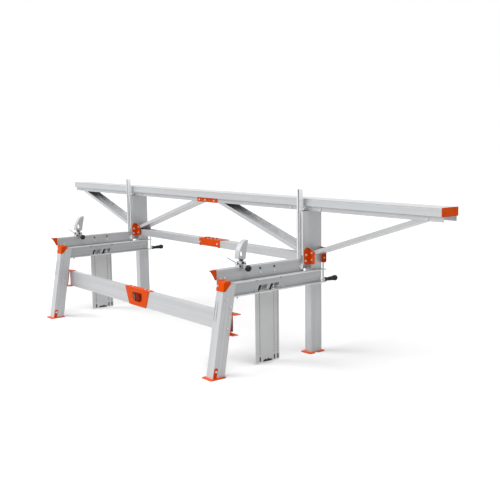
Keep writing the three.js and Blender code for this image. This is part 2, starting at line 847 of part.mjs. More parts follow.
function pinionOutline() {
  const base = pinionRadius * Math.cos(pressureAngle);
  const tip = pinionRadius + addendum;
  const root = pinionRadius - dedendum;
  const roll = (radius) => Math.sqrt(Math.max(0, (radius / base) ** 2 - 1));
  const involute = (radius) => roll(radius) - Math.atan(roll(radius));
  const halfAt = (radius) => toothHalf / pinionRadius + involute(pinionRadius) - involute(Math.max(radius, base));
  const radii = [root, base, (base + pinionRadius) / 2, (pinionRadius + tip) / 2, tip];
  const points = [];
  for (let i = 0; i < pinionTeeth; i += 1) {
    const middle = Math.PI + i * 2 * Math.PI / pinionTeeth;
    const at = (radius, turn) => [shaftX + radius * Math.cos(turn), shaftAt[1] + radius * Math.sin(turn)];
    radii.forEach((radius) => points.push(at(radius, middle - halfAt(radius))));
    [...radii].reverse().forEach((radius) => points.push(at(radius, middle + halfAt(radius))));
  }
  return points;
}

function crankShaft() {
  const front = rackFront + (rackWidth - pinionWidth) / 2;
  return join(
    rod('y', shaftAt, shaftRadius, columnFront + columnWall - shaftEngage, crankRear),
    prism(pinionOutline(), 'y', front, front + pinionWidth));
}

function crankArm() {
  const eye = [shaftX, shaftAt[1] - crankLength];
  const half = crankBarWidth / 2;
  const thickness = [crankPlane, crankRear];
  const bar = block([shaftX - half, shaftX + half], thickness, [eye[1], shaftAt[1]]);
  const hub = rod('y', shaftAt, crankHubRadius, ...thickness);
  const bore = rod('y', shaftAt, shaftRadius + fit, crankPlane - overrun, crankRear + overrun);
  const collar = rod('y', eye, crankEyeRadius, crankPlane, gripStart - fit);
  const spindle = rod('y', eye, spindleRadius, crankPlane, gripEnd + fit + weld);
  const head = rod('y', eye, spindleHeadRadius, gripEnd + fit, gripEnd + fit + spindleHeadLength);
  return join(cut(join(bar, hub), bore), collar, spindle, head);
}

function crankGrip() {
  const bore = spindleRadius + fit;
  const skin = gripShares.map(([radius, length]) => [gripRadius * radius, gripLength * length]);
  const grip = turned([[bore, 0], ...skin, [bore, gripLength], [bore, 0]]);
  grip.translate(shaftX, gripStart, shaftAt[1] - crankLength);
  return grip;
}

// Log clamp: a saddle on the bed, its hook, lever and clamping knob

const clampCentre = bedFront + clampInset;
const clampFront = clampCentre - clampLength / 2;
const clampRear = clampCentre + clampLength / 2;
const clampBase = bedTop + fit;
const clampTop = clampBase + clampHeight;
const clampSides = [bedInner + clampEdgeInset, bedSide + fit + clampCheek];
const hookBlade = [bedSide - hookBladeInset, bedSide - hookBladeInset + hookBladeThickness];
const hookPivot = [clampCentre + hookPivotShift, bedTop + hookPivotRise];
const screwAt = [clampCentre + screwShift, bedTop - screwDrop];
const leverPivot = [bedSide - leverInset, bedTop + leverRise];
const leverBossFront = clampFront - fit - leverBossWidth;

function clampSaddle() {
  const [inner, outer] = clampSides;
  const body = prism([
    [clampFront, clampBase], [clampRear, clampBase], [clampRear, clampTop - clampCorner],
    [clampRear - clampCorner, clampTop], [clampFront + clampCorner, clampTop],
    [clampFront, clampTop - clampCorner],
  ], 'x', inner, outer);
  const cheek = block(
    [bedSide + fit, outer], [clampFront, clampRear], [clampBase - clampCheekDrop, clampBase + weld]);
  const hookRoom = block(
    [hookBlade[0] - fit, hookBlade[1] + fit], [clampFront - overrun, clampRear + overrun],
    [hookPivot[1] - hookHubRadius - fit, clampTop + overrun]);
  const pinHole = rod('x', hookPivot, hookPivotRadius + fit, inner - overrun, outer + overrun);
  const screwHole = rod('x', screwAt, screwRadius + fit, bedSide, outer + overrun);
  const headRear = leverBossFront - fit;
  const pin = rod('y', leverPivot, leverPinRadius, headRear - weld, clampFront + overrun);
  const head = rod('y', leverPivot, leverHeadRadius, headRear - leverHeadWidth, headRear);
  return join(cut(join(body, cheek), hookRoom, pinHole, screwHole), pin, head);
}

// Sickle hook: a blade with a broad curved rim along its back
function clampHook() {
  const base = [clampFront + hookInset, clampTop + hookClearance];
  const spread = (shares) => shares.map(([y, z]) => [base[0] + hookLength * y, base[1] + hookHeight * z]);
  const back = spread(hookBackShares);
  const face = spread(hookFaceShares);
  const blade = prism([...back, ...face, hookPivot], 'x', ...hookBlade, [spread(hookWindowShares)]);
  const underside = back.map(([y, z]) => [y + hookRimThickness, z]).reverse();
  const rim = prism([...back, face[0], ...underside], 'x', hookBlade[1] - hookWidth, hookBlade[1]);
  const hub = rod('x', hookPivot, hookHubRadius, ...hookBlade);
  const pin = rod('x', hookPivot, hookPivotRadius, ...clampSides);
  return join(blade, rim, hub, pin);
}

function clampLever() {
  const [x, z] = leverPivot;
  const middle = leverBossFront + leverBossWidth / 2;
  const boss = rod('y', leverPivot, leverBossRadius, leverBossFront, leverBossFront + leverBossWidth);
  const bore = rod('y', leverPivot, leverPinRadius + fit, leverBossFront - overrun, clampFront + overrun);
  const path = new THREE.LineCurve3(
    new THREE.Vector3(x - leverBossRadius + leverRadius / 2, middle, z),
    new THREE.Vector3(x - leverLength, middle, z + leverTipRise));
  const section = new THREE.Shape(outline(circle([0, 0], leverRadius, holeSides), 'z'));
  const handle = new THREE.ExtrudeGeometry(section, { steps: 1, bevelEnabled: false, extrudePath: path });
  return join(cut(boss, bore), toSolid(handle));
}

function clampKnob() {
  const centre = bedSide + screwReach;
  const profile = Array.from({ length: arcSteps + 1 }, (_, i) => {
    const turn = Math.PI * i / arcSteps;
    return [knobRadius * Math.sin(turn), -knobRadius * Math.cos(turn)];
  });
  const ball = turned(profile);
  ball.rotateZ(-Math.PI / 2);
  ball.translate(centre, ...screwAt);
  return join(toSolid(ball), rod('x', screwAt, screwRadius, bedSide + fit, centre));
}

// Bracket that carries a front beam's end at a leg

function beamBracket() {
  const bottom = frontBeamBottom - fit - bracketWall;
  const top = frontBeamTop + fit + bracketWall;
  const inner = legMiddle + fit / 2;
  const seat = (z) => legRearAt(z) + fit;
  const back = prism([
    [seat(bottom), bottom], [seat(bottom) + bracketWall, bottom], [seat(top) + bracketWall, top], [seat(top), top],
  ], 'x', inner, legOuter);
  const rib = prism([
    [seat(bottom), bottom], [seat(bottom) + bracketRib, bottom], [seat(top) + bracketRib, top],
    [seat(top + bracketPeak) + bracketRib / 2, top + bracketPeak], [seat(top), top],
  ], 'x', legOuter - bracketWall, legOuter);
  const flange = (z) => block(
    [inner, legOuter + bracketReach], [seat(z + bracketWall), seat(z) + bracketDepth], [z, z + bracketWall]);
  return join(back, rib, flange(bottom), flange(top - bracketWall));
}

// One trestle, drawn about the column's centre line

function trestle(side, x) {
  const group = new THREE.Group();
  group.position.x = x;
  mill.add(group);
  const add = (name, solid, material) => place(group, `${side}_${name}`, solid, material);
  add('column', column(), aluminium);
  add('column_foot', columnFoot(), orange);
  add('node_plate_right', nodePlate(), orange);
  add('node_plate_left', nodePlate().mirror([1, 0, 0]), orange);
  add('rear_plate', rearPlate(), orange);
  add('fixed_beam', fixedBeam(), aluminium);
  add('beam_cap', beamCap(), orange);
  add('leg', leg(), aluminium);
  add('leg_foot', legFoot(), orange);
  add('beam_bracket', beamBracket(), orange);
  add('log_bed', logBed(), aluminium);
  add('bed_nose', bedNose(), orange);
  add('height_plate', heightPlate(), zinc);
  add('log_post', logPost(), aluminium);
  add('lift_rack', liftRack(), zinc);
  add('crank_shaft', crankShaft(), zinc);
  add('crank_arm', crankArm(), zinc);
  add('crank_grip', crankGrip(), blackPlastic);
  add('clamp_saddle', clampSaddle(), zinc);
  add('clamp_hook', clampHook(), zinc);
  add('clamp_lever', clampLever(), zinc);
  add('clamp_knob', clampKnob(), blackPlastic);
}

trestle('left', -trestleX);
trestle('right', trestleX);

// Back beams between the columns, and the angle plate over their joint

function tube(front, depth, bottom, height, from, to) {
  const outer = rectangle(front, front + depth, bottom, bottom + height);
  const inner = rectangle(
    front + tubeWall, front + depth - tubeWall, bottom + tubeWall, bottom + height - tubeWall);
  return prismGeometry(outer, 'x', from, to, [inner]);
}

function backBeam(from, to) {
  return tube(backBeamFront, backBeamDepth, backBeamBottom, backBeamHeight, from, to);
}

function backJointPlate() {
  const rear = backBeamFront - fit;
  const front = rear - jointPlate;
  const top = backBeamTop + fit + jointPlate;
  const bottom = backBeamBottom - jointPlate;
  const apron = prism(bothSides([
    [backJointHalf - backJointFoot - backJointCorner, bottom + backJointCorner],
    [backJointHalf - backJointFoot, bottom], [backJointHalf - backJointCorner, bottom],
    [backJointHalf, bottom + backJointCorner], [backJointHalf, top]]), 'y', front, rear);
  const lip = prism(bothSides([
    [backJointHalf, front], [backJointHalf + backJointLipFlare, rear + backBeamDepth + backJointLipReach],
  ]), 'z', top - jointPlate, top);
  return join(apron, lip);
}

const backBeamEnd = trestleX - columnHalf - fit;
place(mill, 'left_back_beam', backBeam(-backBeamEnd, -fit / 2), aluminium);
place(mill, 'right_back_beam', backBeam(fit / 2, backBeamEnd), aluminium);
place(mill, 'back_joint_plate', backJointPlate(), orange);

// Front beams between the legs, the right leg's second bracket, and the bracket over their joint

function frontBeam(from, to) {
  return tube(frontBeamFront, frontBeamDepth, frontBeamBottom, frontBeamHeight, from, to);
}

// Folded bracket with a shield-shaped window
function frontJointBracket() {
  const top = frontBeamTop + fit + jointPlate;
  const bottom = frontBeamBottom - frontJointDrop;
  const front = frontBeamFront - fit;
  const rear = frontBeamRear + fit;
  const face = bothSides([[frontJointBottomHalf, bottom], [frontJointTopHalf, top]]);
  const shieldBottom = (top + bottom - shieldHeight) / 2;
  const shield = bothSides([
    [shieldHalf * shieldPointShare, shieldBottom], [shieldHalf, shieldBottom + shieldHeight * shieldShoulderShare],
    [shieldHalf, shieldBottom + shieldHeight]]);
  const lip = block(
    [-frontJointTopHalf, frontJointTopHalf], [front - jointPlate, rear + jointPlate], [top - jointPlate, top]);
  return join(
    prism(face, 'y', front - jointPlate, front, [shield]), lip, prism(face, 'y', rear, rear + jointPlate));
}

const beamReach = trestleX - frontBeamInset;
const innerBracket = beamBracket().mirror([1, 0, 0]).translate([trestleX + 2 * legMiddle, 0, 0]);
place(mill, 'left_front_beam', frontBeam(legMiddle - beamReach, legMiddle - frontBeamHalfGap), aluminium);
place(mill, 'right_front_beam', frontBeam(legMiddle + frontBeamHalfGap, legMiddle + beamReach), aluminium);
place(mill, 'inner_beam_bracket', innerBracket, orange);
place(mill, 'front_joint_bracket', frontJointBracket().translate([legMiddle, 0, 0]), orange);

// Centre the mill over the floor, from the leg feet's front edge to the crank spindles' end

const frontMost = legFrontAt(0) - legFootFrontReach;
const rearMost = gripEnd + fit + spindleHeadLength;
mill.position.set(-(fit + endCapThickness) / 2, -(frontMost + rearMost) / 2, 0);

export default mill;
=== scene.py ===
"""Visual model of the chainsaw mill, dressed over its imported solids.

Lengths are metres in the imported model's frame: +X along the guide rail, +Y from the front legs to
the crank handles, +Z up. Places on a trestle are given in millimetres from a zero on the floor,
under the front face of the guide rail and midway between the two columns.
"""

import functools
import json
import logging
import math
from dataclasses import dataclass
from enum import Enum

import bmesh
import bpy
from mathutils import Matrix, Vector
from mathutils.bvhtree import BVHTree

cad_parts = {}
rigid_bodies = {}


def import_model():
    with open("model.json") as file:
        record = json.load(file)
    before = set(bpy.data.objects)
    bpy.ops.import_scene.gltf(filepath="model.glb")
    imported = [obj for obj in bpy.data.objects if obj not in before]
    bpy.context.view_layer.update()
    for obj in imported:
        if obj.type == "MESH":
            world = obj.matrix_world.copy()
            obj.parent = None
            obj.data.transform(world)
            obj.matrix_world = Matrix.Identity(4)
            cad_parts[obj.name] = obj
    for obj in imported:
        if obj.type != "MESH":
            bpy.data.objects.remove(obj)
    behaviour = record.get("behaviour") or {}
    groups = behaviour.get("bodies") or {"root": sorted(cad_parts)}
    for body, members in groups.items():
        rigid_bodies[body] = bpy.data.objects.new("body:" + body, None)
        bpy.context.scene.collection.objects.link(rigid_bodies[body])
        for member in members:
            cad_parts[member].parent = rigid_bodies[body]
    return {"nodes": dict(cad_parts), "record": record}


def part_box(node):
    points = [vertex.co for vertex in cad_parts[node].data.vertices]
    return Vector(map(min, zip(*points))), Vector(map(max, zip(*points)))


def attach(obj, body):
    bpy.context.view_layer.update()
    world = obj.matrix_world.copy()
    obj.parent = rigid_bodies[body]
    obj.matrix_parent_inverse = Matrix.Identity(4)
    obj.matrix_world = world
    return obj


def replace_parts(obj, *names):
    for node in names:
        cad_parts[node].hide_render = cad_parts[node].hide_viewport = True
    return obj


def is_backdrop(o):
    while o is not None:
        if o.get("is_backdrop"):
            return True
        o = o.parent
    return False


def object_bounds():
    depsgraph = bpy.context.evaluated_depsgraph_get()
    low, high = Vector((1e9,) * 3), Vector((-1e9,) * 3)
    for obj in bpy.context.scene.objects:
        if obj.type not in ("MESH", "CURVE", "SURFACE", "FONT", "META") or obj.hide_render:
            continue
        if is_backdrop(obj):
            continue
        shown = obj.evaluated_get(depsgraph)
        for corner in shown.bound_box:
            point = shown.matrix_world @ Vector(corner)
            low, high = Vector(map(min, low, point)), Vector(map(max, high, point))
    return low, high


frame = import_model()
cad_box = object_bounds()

log = logging.getLogger("chainsaw mill")

# A millimetre in metres
MM = 0.001
# How far each trestle stands from the middle, and how far a column's fins stand before the rail,
# in millimetres
TRESTLE_X = 1375
FIN_REACH = 45
# How far a leg leans back for each step up
LEG_LEAN = 0.173

# A span is where a mask starts and where it is full, a row lists places along one direction, and
# an outline lists points in a plane
Colour = tuple[float, float, float, float]
Pair = tuple[float, float]
Span = tuple[float, float]
Triple = tuple[float, float, float]
Row = tuple[float, ...]
Outline = tuple[Pair, ...]
Ring = list[Vector]


class Side(Enum):
    """The two trestles as seen from the front, with their places along the rail."""

    LEFT = ("left", -TRESTLE_X)
    RIGHT = ("right", TRESTLE_X)

    def part(self, name: str) -> str:
        """Name a node or a body of this trestle."""
        return f"{self.value[0]}_{name}"

    @property
    def x(self) -> float:
        """Give the trestle's place along the rail, in millimetres."""
        return self.value[1]


def trestle_zero() -> Vector:
    """Find the point on the floor that the places on the trestles are measured from.

    Returns:
        The point.
    """
    left_low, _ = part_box("left_column")
    _, right_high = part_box("right_column")
    return Vector(((left_low.x + right_high.x) / 2, left_low.y + FIN_REACH * MM, 0.0))


ZERO = trestle_zero()


def spot(x: float, y: float, z: float) -> Vector:
    """Turn millimetres from the trestles' zero into the model's metres."""
    return ZERO + Vector((x, y, z)) * MM


def grey(level: float) -> Colour:
    """Give a plain grey."""
    return (level, level, level, 1.0)


# Node trees

# The numbers of sockets whose names a node gives more than once: a Mix node's factor and its two
# colours, its mixed colour, a Random Value node's two limits, and its random number
MIX_INPUTS, MIX_COLOUR = (0, 6, 7), 2
RANDOM_LOW, RANDOM_HIGH, RANDOM_NUMBER = 2, 3, 1

class Sketch:
    """Short ways to add nodes to one tree and to join them."""

    def __init__(self, tree: bpy.types.NodeTree) -> None:
        """Keep the tree that the nodes go into."""
        self.tree = tree

    def feed(self, socket: bpy.types.NodeSocket, value: object) -> None:
        """Join another socket to this one, or set its plain value.

        Args:
            socket: The input that is fed.
            value: Another socket, or a plain value.
        """
        if isinstance(value, bpy.types.NodeSocket):
            self.tree.links.new(value, socket)
        else:
            socket.default_value = value

    def add(self, kind: str, inputs: dict | None = None, **settings: object) -> bpy.types.Node:
        """Add a node.

        Args:
            kind: Blender's name for the node type.
            inputs: What goes into its sockets, by name or number: a plain value or another socket.
            settings: Its properties.

        Returns:
            The new node.
        """
        node = self.tree.nodes.new(kind)
        for name, value in settings.items():
            setattr(node, name, value)
        for key, value in (inputs or {}).items():
            self.feed(node.inputs[key], value)
        return node

    def maths(self, operation: str, *values: object) -> bpy.types.NodeSocket:
        """Add a Math node on the given values and give its result."""
        return self.add("ShaderNodeMath", dict(enumerate(values)), operation=operation).outputs[0]

    def vector(self, operation: str, inputs: dict) -> bpy.types.NodeSocket:
        """Add a Vector Math node and give its result."""
        node = self.add("ShaderNodeVectorMath", inputs, operation=operation)
        return node.outputs["Value" if operation == "DOT_PRODUCT" else "Vector"]

    def spread(self, value: object, low: float, high: float) -> bpy.types.NodeSocket:
        """Map the stretch of a value between low and high smoothly onto 0 to 1.

        Args:
            value: The value.
            low: Where 0 is.
            high: Where 1 is.

        Returns:
            The mapped value.
        """
        inputs = {"Value": value, "From Min": low, "From Max": high}
        node = self.add("ShaderNodeMapRange", inputs, interpolation_type="SMOOTHSTEP")
        return node.outputs["Result"]

    def between(self, share: object, start: float, end: float) -> bpy.types.NodeSocket:
        """Give the number that lies a share of the way from start to end."""
        return self.maths("MULTIPLY_ADD", share, end - start, start)

    def blend(self, share: object, first: object, second: object) -> bpy.types.NodeSocket:
        """Mix two colours by a share that varies over the surface.

        Args:
            share: How much of the second colour is in the mix.
            first: The colour at 0.
            second: The colour at 1.

        Returns:
            The mixed colour.
        """
        node = self.add("ShaderNodeMix", data_type="RGBA")
        for key, value in zip(MIX_INPUTS, (share, first, second)):
            self.feed(node.inputs[key], value)
        return node.outputs[MIX_COLOUR]

    def noise(self, place: bpy.types.NodeSocket, scale: object,
              detail: float) -> bpy.types.NodeSocket:
        """Add smooth noise at a place and give its value."""
        inputs = {"Vector": place, "Scale": scale, "Detail": detail}
        return self.add("ShaderNodeTexNoise", inputs).outputs["Fac"]

    def cells(self, place: object, scale: object, **settings: object) -> bpy.types.NodeOutputs:
        """Add a pattern of cells at a place and give its outputs."""
        inputs = {"Vector": place, "Scale": scale}
        return self.add("ShaderNodeTexVoronoi", inputs, **settings).outputs

    def place(self) -> bpy.types.NodeSocket:
        """Give the object's own coordinates."""
        return self.add("ShaderNodeTexCoord").outputs["Object"]


def open_group(name: str, kind: str, inputs: dict[str, tuple[str, object]],
               outputs: dict[str, str]) -> tuple[Sketch, bpy.types.Node, bpy.types.Node]:
    """Start a node group with named sockets.

    Args:
        name: What the group makes.
        kind: The type of tree.
        inputs: Each input's name, with its socket type and starting value.
        outputs: Each output's name, with its socket type.

    Returns:
        The group's sketch, its input node and its output node.
    """
    tree = bpy.data.node_groups.new(name, kind)
    for key, (socket_type, value) in inputs.items():
        socket = tree.interface.new_socket(key, in_out="INPUT", socket_type=socket_type)
        if value is not None:
            socket.default_value = value
    for key, socket_type in outputs.items():
        tree.interface.new_socket(key, in_out="OUTPUT", socket_type=socket_type)
    sketch = Sketch(tree)
    return sketch, sketch.add("NodeGroupInput"), sketch.add("NodeGroupOutput")


FLOAT = "NodeSocketFloat"
VECTOR = "NodeSocketVector"
TONE_AND_HEIGHT = {"Tone": FLOAT, "Height": FLOAT}


@dataclass(frozen=True)
class Effects:
    """The surface effects that the finishes share, each a node group built once.

    A detail is how fine a noise gets, and a noise is a pair of its scale and its detail.
    """

    bevel_samples: int = 6
    edge_span: Span = (0.99, 0.8)
    edge_break_detail: float = 5.0
    edge_break_span: Span = (0.36, 0.62)
    line_stretch: float = 0.99
    line_span: Span = (0.36, 0.64)
    fine_detail: float = 3.0
    broad_detail: float = 2.0
    broad_scale: float = 0.07
    broad_share: float = 0.55
    dull_detail: float = 6.0
    dull_span: Span = (0.42, 0.7)
    bend_noise: Pair = (2.5, 1.0)
    scratch_span: Span = (0.004, 0.0)
    scratch_break_noise: Pair = (12.0, 3.0)
    scratch_break_span: Span = (0.6, 0.68)
    peel_detail: float = 1.0
    cloud_noise: Pair = (30.0, 4.0)
    cloud_span: Span = (0.35, 0.65)
    crystal_noise: Pair = (900.0, 2.0)
    grain_noise: Pair = (45.0, 4.0)

    @functools.cache
    def edge_wear(self) -> bpy.types.NodeTree:
        """Find the edges, broken up as by handling, and round the light on them.

        Returns:
            The group, with the mask of the worn edges and the rounded normal.
        """
        sketch, given, result = open_group(
            "edge_wear", "ShaderNodeTree",
            {"Radius": (FLOAT, 0.001), "Breakup": (FLOAT, 60.0)}, {"Mask": FLOAT, "Normal": VECTOR})
        rounded = sketch.add("ShaderNodeBevel", {"Radius": given.outputs["Radius"]},
                             samples=self.bevel_samples).outputs[0]
        flat = sketch.add("ShaderNodeNewGeometry").outputs["Normal"]
        edge = sketch.spread(sketch.vector("DOT_PRODUCT", {0: rounded, 1: flat}), *self.edge_span)
        patches = sketch.noise(sketch.place(), given.outputs["Breakup"], self.edge_break_detail)
        broken = sketch.spread(patches, *self.edge_break_span)
        sketch.feed(result.inputs["Mask"], sketch.maths("MULTIPLY", edge, broken))
        sketch.feed(result.inputs["Normal"], rounded)
        return sketch.tree

    @functools.cache
    def die_lines(self) -> bpy.types.NodeTree:
        """Draw the fine lines that an extruding tool leaves along a profile.

        Returns:
            The group, with the lines' tone and height.
        """
        sketch, given, result = open_group(
            "die_lines", "ShaderNodeTree",
            {"Run": (VECTOR, (1.0, 0.0, 0.0)), "Fineness": (FLOAT, 420.0)}, TONE_AND_HEIGHT)
        place, run, fineness = sketch.place(), given.outputs["Run"], given.outputs["Fineness"]
        reach = sketch.vector("DOT_PRODUCT", {0: place, 1: run})
        drawn = sketch.maths("MULTIPLY", reach, self.line_stretch)
        along = sketch.vector("SCALE", {0: run, "Scale": drawn})
        squeezed = sketch.vector("SUBTRACT", {0: place, 1: along})
        fine = sketch.noise(squeezed, fineness, self.fine_detail)
        coarseness = sketch.maths("MULTIPLY", fineness, self.broad_scale)
        broad = sketch.noise(squeezed, coarseness, self.broad_detail)
        rest = sketch.maths("MULTIPLY", fine, 1.0 - self.broad_share)
        tone = sketch.maths("MULTIPLY_ADD", broad, self.broad_share, rest)
        sketch.feed(result.inputs["Tone"], sketch.spread(tone, *self.line_span))
        sketch.feed(result.inputs["Height"], fine)
        return sketch.tree

    @functools.cache
    def handling(self) -> bpy.types.NodeTree:
        """Lay soft patches of dulling and a few fine scratches over a surface.

        Returns:
            The group, with the masks of the dull patches and of the scratches.
        """
        sketch, given, result = open_group(
            "handling", "ShaderNodeTree",
            {"Patches": (FLOAT, 5.0), "Scratches": (FLOAT, 9.0)}, {"Dull": FLOAT, "Scratch": FLOAT})
        place = sketch.place()
        patches = sketch.noise(place, given.outputs["Patches"], self.dull_detail)
        sketch.feed(result.inputs["Dull"], sketch.spread(patches, *self.dull_span))
        scale, detail = self.bend_noise
        bend = sketch.add("ShaderNodeTexNoise", {"Vector": place, "Scale": scale, "Detail": detail})
        bent = sketch.vector("ADD", {0: place, 1: bend.outputs["Color"]})
        cells = sketch.cells(bent, given.outputs["Scratches"], feature="DISTANCE_TO_EDGE")
        line = sketch.spread(cells["Distance"], *self.scratch_span)
        breaks = sketch.noise(place, *self.scratch_break_noise)
        broken = sketch.spread(breaks, *self.scratch_break_span)
        sketch.feed(result.inputs["Scratch"], sketch.maths("MULTIPLY", line, broken))
        return sketch.tree

    @functools.cache
    def orange_peel(self) -> bpy.types.NodeTree:
        """Give the dimpled flow of a powder coat.

        Returns:
            The group, with the coat's tone and height.
        """
        sketch, given, result = open_group(
            "orange_peel", "ShaderNodeTree", {"Fineness": (FLOAT, 650.0)}, TONE_AND_HEIGHT)
        place = sketch.place()
        dimples = sketch.noise(place, given.outputs["Fineness"], self.peel_detail)
        sketch.feed(result.inputs["Height"], dimples)
        clouds = sketch.noise(place, *self.cloud_noise)
        sketch.feed(result.inputs["Tone"], sketch.spread(clouds, *self.cloud_span))
        return sketch.tree

    @functools.cache
    def zinc_crystals(self) -> bpy.types.NodeTree:
        """Give the faint crystal patches of a zinc coat.

        Returns:
            The group, with the coat's tone and height.
        """
        sketch, given, result = open_group(
            "zinc_crystals", "ShaderNodeTree", {"Fineness": (FLOAT, 140.0)}, TONE_AND_HEIGHT)
        place = sketch.place()
        cells = sketch.cells(place, given.outputs["Fineness"])
        tone = sketch.add("ShaderNodeSeparateColor", {0: cells["Color"]}).outputs[0]
        sketch.feed(result.inputs["Tone"], tone)
        sketch.feed(result.inputs["Height"], sketch.noise(place, *self.crystal_noise))
        return sketch.tree

    @functools.cache
    def moulded_grain(self) -> bpy.types.NodeTree:
        """Give the sparked grain of a moulded grip.

        Returns:
            The group, with the grain's tone and height.
        """
        sketch, given, result = open_group(
            "moulded_grain", "ShaderNodeTree", {"Fineness": (FLOAT, 900.0)}, TONE_AND_HEIGHT)
        place = sketch.place()
        cells = sketch.cells(place, given.outputs["Fineness"])
        sketch.feed(result.inputs["Height"], cells["Distance"])
        sketch.feed(result.inputs["Tone"], sketch.noise(place, *self.grain_noise))
        return sketch.tree


EFFECTS = Effects()


# Finishes

ALUMINIUM_TONES = ((0.58, 0.588, 0.6), (0.51, 0.518, 0.53))
# A plane past the mill, for the profiles whose colour gets no painted light
BEYOND_THE_MILL = 1000.0


@dataclass(frozen=True)
class Finish:
    """A surface finish, with its colours, its gloss and the record's slot that it belongs to."""

    name: str
    slot: str
    bright: Colour
    dull: Colour
    worn: Colour
    metallic: float
    smooth: float
    rough: float
    relief: float
    soiling: float = 0.5
    wear: float = 0.7
    edge_radius: float = 0.0012
    specular: float = 0.5

    def texture(self, sketch: Sketch) -> bpy.types.Node:
        """Place the group that gives the finish's own tone and height."""
        raise NotImplementedError

    def paint_light(self, sketch: Sketch, colour: bpy.types.NodeSocket) -> bpy.types.NodeSocket:
        """Leave the colour as it is, where a finish paints no light onto it."""
        return colour

    def material(self) -> bpy.types.Material:
        """Build the finish's material, or give the one that is already there.

        Returns:
            The material.
        """
        made = bpy.data.materials.get(self.name)
        if made:
            return made
        made = bpy.data.materials.new(self.name)
        made.use_nodes = True
        sketch = Sketch(made.node_tree)
        shader = made.node_tree.nodes["Principled BSDF"]
        own = self.texture(sketch)
        edges = self.effect(sketch, EFFECTS.edge_wear(), Radius=self.edge_radius)
        marks = self.effect(sketch, EFFECTS.handling())
        soiled = sketch.maths("MULTIPLY", marks.outputs["Dull"], self.soiling)
        clean = sketch.blend(own.outputs["Tone"], self.dull, self.bright)
        handled = sketch.blend(soiled, clean, self.dull)
        bare = sketch.maths("MAXIMUM", edges.outputs["Mask"], marks.outputs["Scratch"])
        worn = sketch.maths("MULTIPLY", bare, self.wear)
        bump = sketch.add("ShaderNodeBump", {
            "Distance": self.relief, "Height": own.outputs["Height"],
            "Normal": edges.outputs["Normal"]})
        colour = self.paint_light(sketch, sketch.blend(worn, handled, self.worn))
        sketch.feed(shader.inputs["Base Color"], colour)
        sketch.feed(shader.inputs["Roughness"], sketch.between(soiled, self.smooth, self.rough))
        sketch.feed(shader.inputs["Normal"], bump.outputs[0])
        shader.inputs["Metallic"].default_value = self.metallic
        shader.inputs["Specular IOR Level"].default_value = self.specular
        return made

    @staticmethod
    def effect(sketch: Sketch, tree: bpy.types.NodeTree, **inputs: object) -> bpy.types.Node:
        """Place a shared effect with this finish's values.

        Args:
            sketch: The tree that the effect goes into.
            tree: The effect's group.
            inputs: This finish's values for the group's inputs.

        Returns:
            The placed node.
        """
        node = sketch.add("ShaderNodeGroup", node_tree=tree)
        for key, value in inputs.items():
            sketch.feed(node.inputs[key], value)
        return node

    def dress(self, *nodes: str) -> None:
        """Give nodes of the model this finish in place of their plain material.

        Args:
            nodes: The nodes' names.
        """
        for name in nodes:
            for slot in frame["nodes"][name].material_slots:
                slot.material = self.material()


@dataclass(frozen=True)
class Extruded(Finish):
    """Metal drawn through a die, with lines along its run, and lightened past a plane across X as
    painted light.
    """

    run: Triple = (1.0, 0.0, 0.0)
    # Past this plane across X the colour is multiplied up as painted light
    painted_light_from: float = BEYOND_THE_MILL
    painted_light_blur: float = 0.0006
    painted_light_gain: float = 1.4

    def texture(self, sketch: Sketch) -> bpy.types.Node:
        """Place the die lines along the profile."""
        return self.effect(sketch, EFFECTS.die_lines(), Run=self.run)

    def paint_light(self, sketch: Sketch, colour: bpy.types.NodeSocket) -> bpy.types.NodeSocket:
        """Paint light onto the colour past the plane.

        Args:
            sketch: The material's tree.
            colour: The colour so far.

        Returns:
            The colour with its painted light.
        """
        along = sketch.add("ShaderNodeSeparateXYZ", {0: sketch.place()}).outputs[0]
        share = sketch.spread(along, self.painted_light_from, self.painted_light_from + self.painted_light_blur)
        return sketch.vector("SCALE", {0: colour, "Scale": sketch.between(share, 1.0, self.painted_light_gain)})


@dataclass(frozen=True)
class Coated(Finish):
    """Powder-coated steel."""

    def texture(self, sketch: Sketch) -> bpy.types.Node:
        """Place the coat's dimples."""
        return self.effect(sketch, EFFECTS.orange_peel())


@dataclass(frozen=True)
class Plated(Finish):
    """Zinc-coated steel."""

    edge_radius: float = 0.0006
    fineness: float = 420.0

    def texture(self, sketch: Sketch) -> bpy.types.Node:
        """Place the coat's crystals."""
        return self.effect(sketch, EFFECTS.zinc_crystals(), Fineness=self.fineness)


@dataclass(frozen=True)
class Moulded(Finish):
    """Moulded plastic."""

    def texture(self, sketch: Sketch) -> bpy.types.Node:
        """Place the mould's grain."""
        return self.effect(sketch, EFFECTS.moulded_grain())


def aluminium(name: str, run: Triple, level: float = 1.0,
              painted_light_from: float = BEYOND_THE_MILL) -> Extruded:
    """Make the mill-finish aluminium of a profile.

    Args:
        name: What the profile is.
        run: Which way it runs.
        level: How light it is, a level above 1 painting light onto it and one below 1 painting
            shade.
        painted_light_from: Where the painted light on its lips starts, in the model's X.

    Returns:
        The finish.
    """
    length = math.sqrt(sum(step * step for step in run))
    # A level above 1 paints light onto the aluminium, and one below 1 paints shade
    bright, dull = ((*(share * level for share in tone), 1) for tone in ALUMINIUM_TONES)
    return Extruded(
        f"aluminium_{name}", "bare_aluminium", bright, dull, (0.8, 0.8, 0.8, 1), metallic=0.3,
        smooth=0.34, rough=0.48, relief=0.00008, soiling=0.35, wear=0.4,
        run=tuple(step / length for step in run), painted_light_from=painted_light_from)


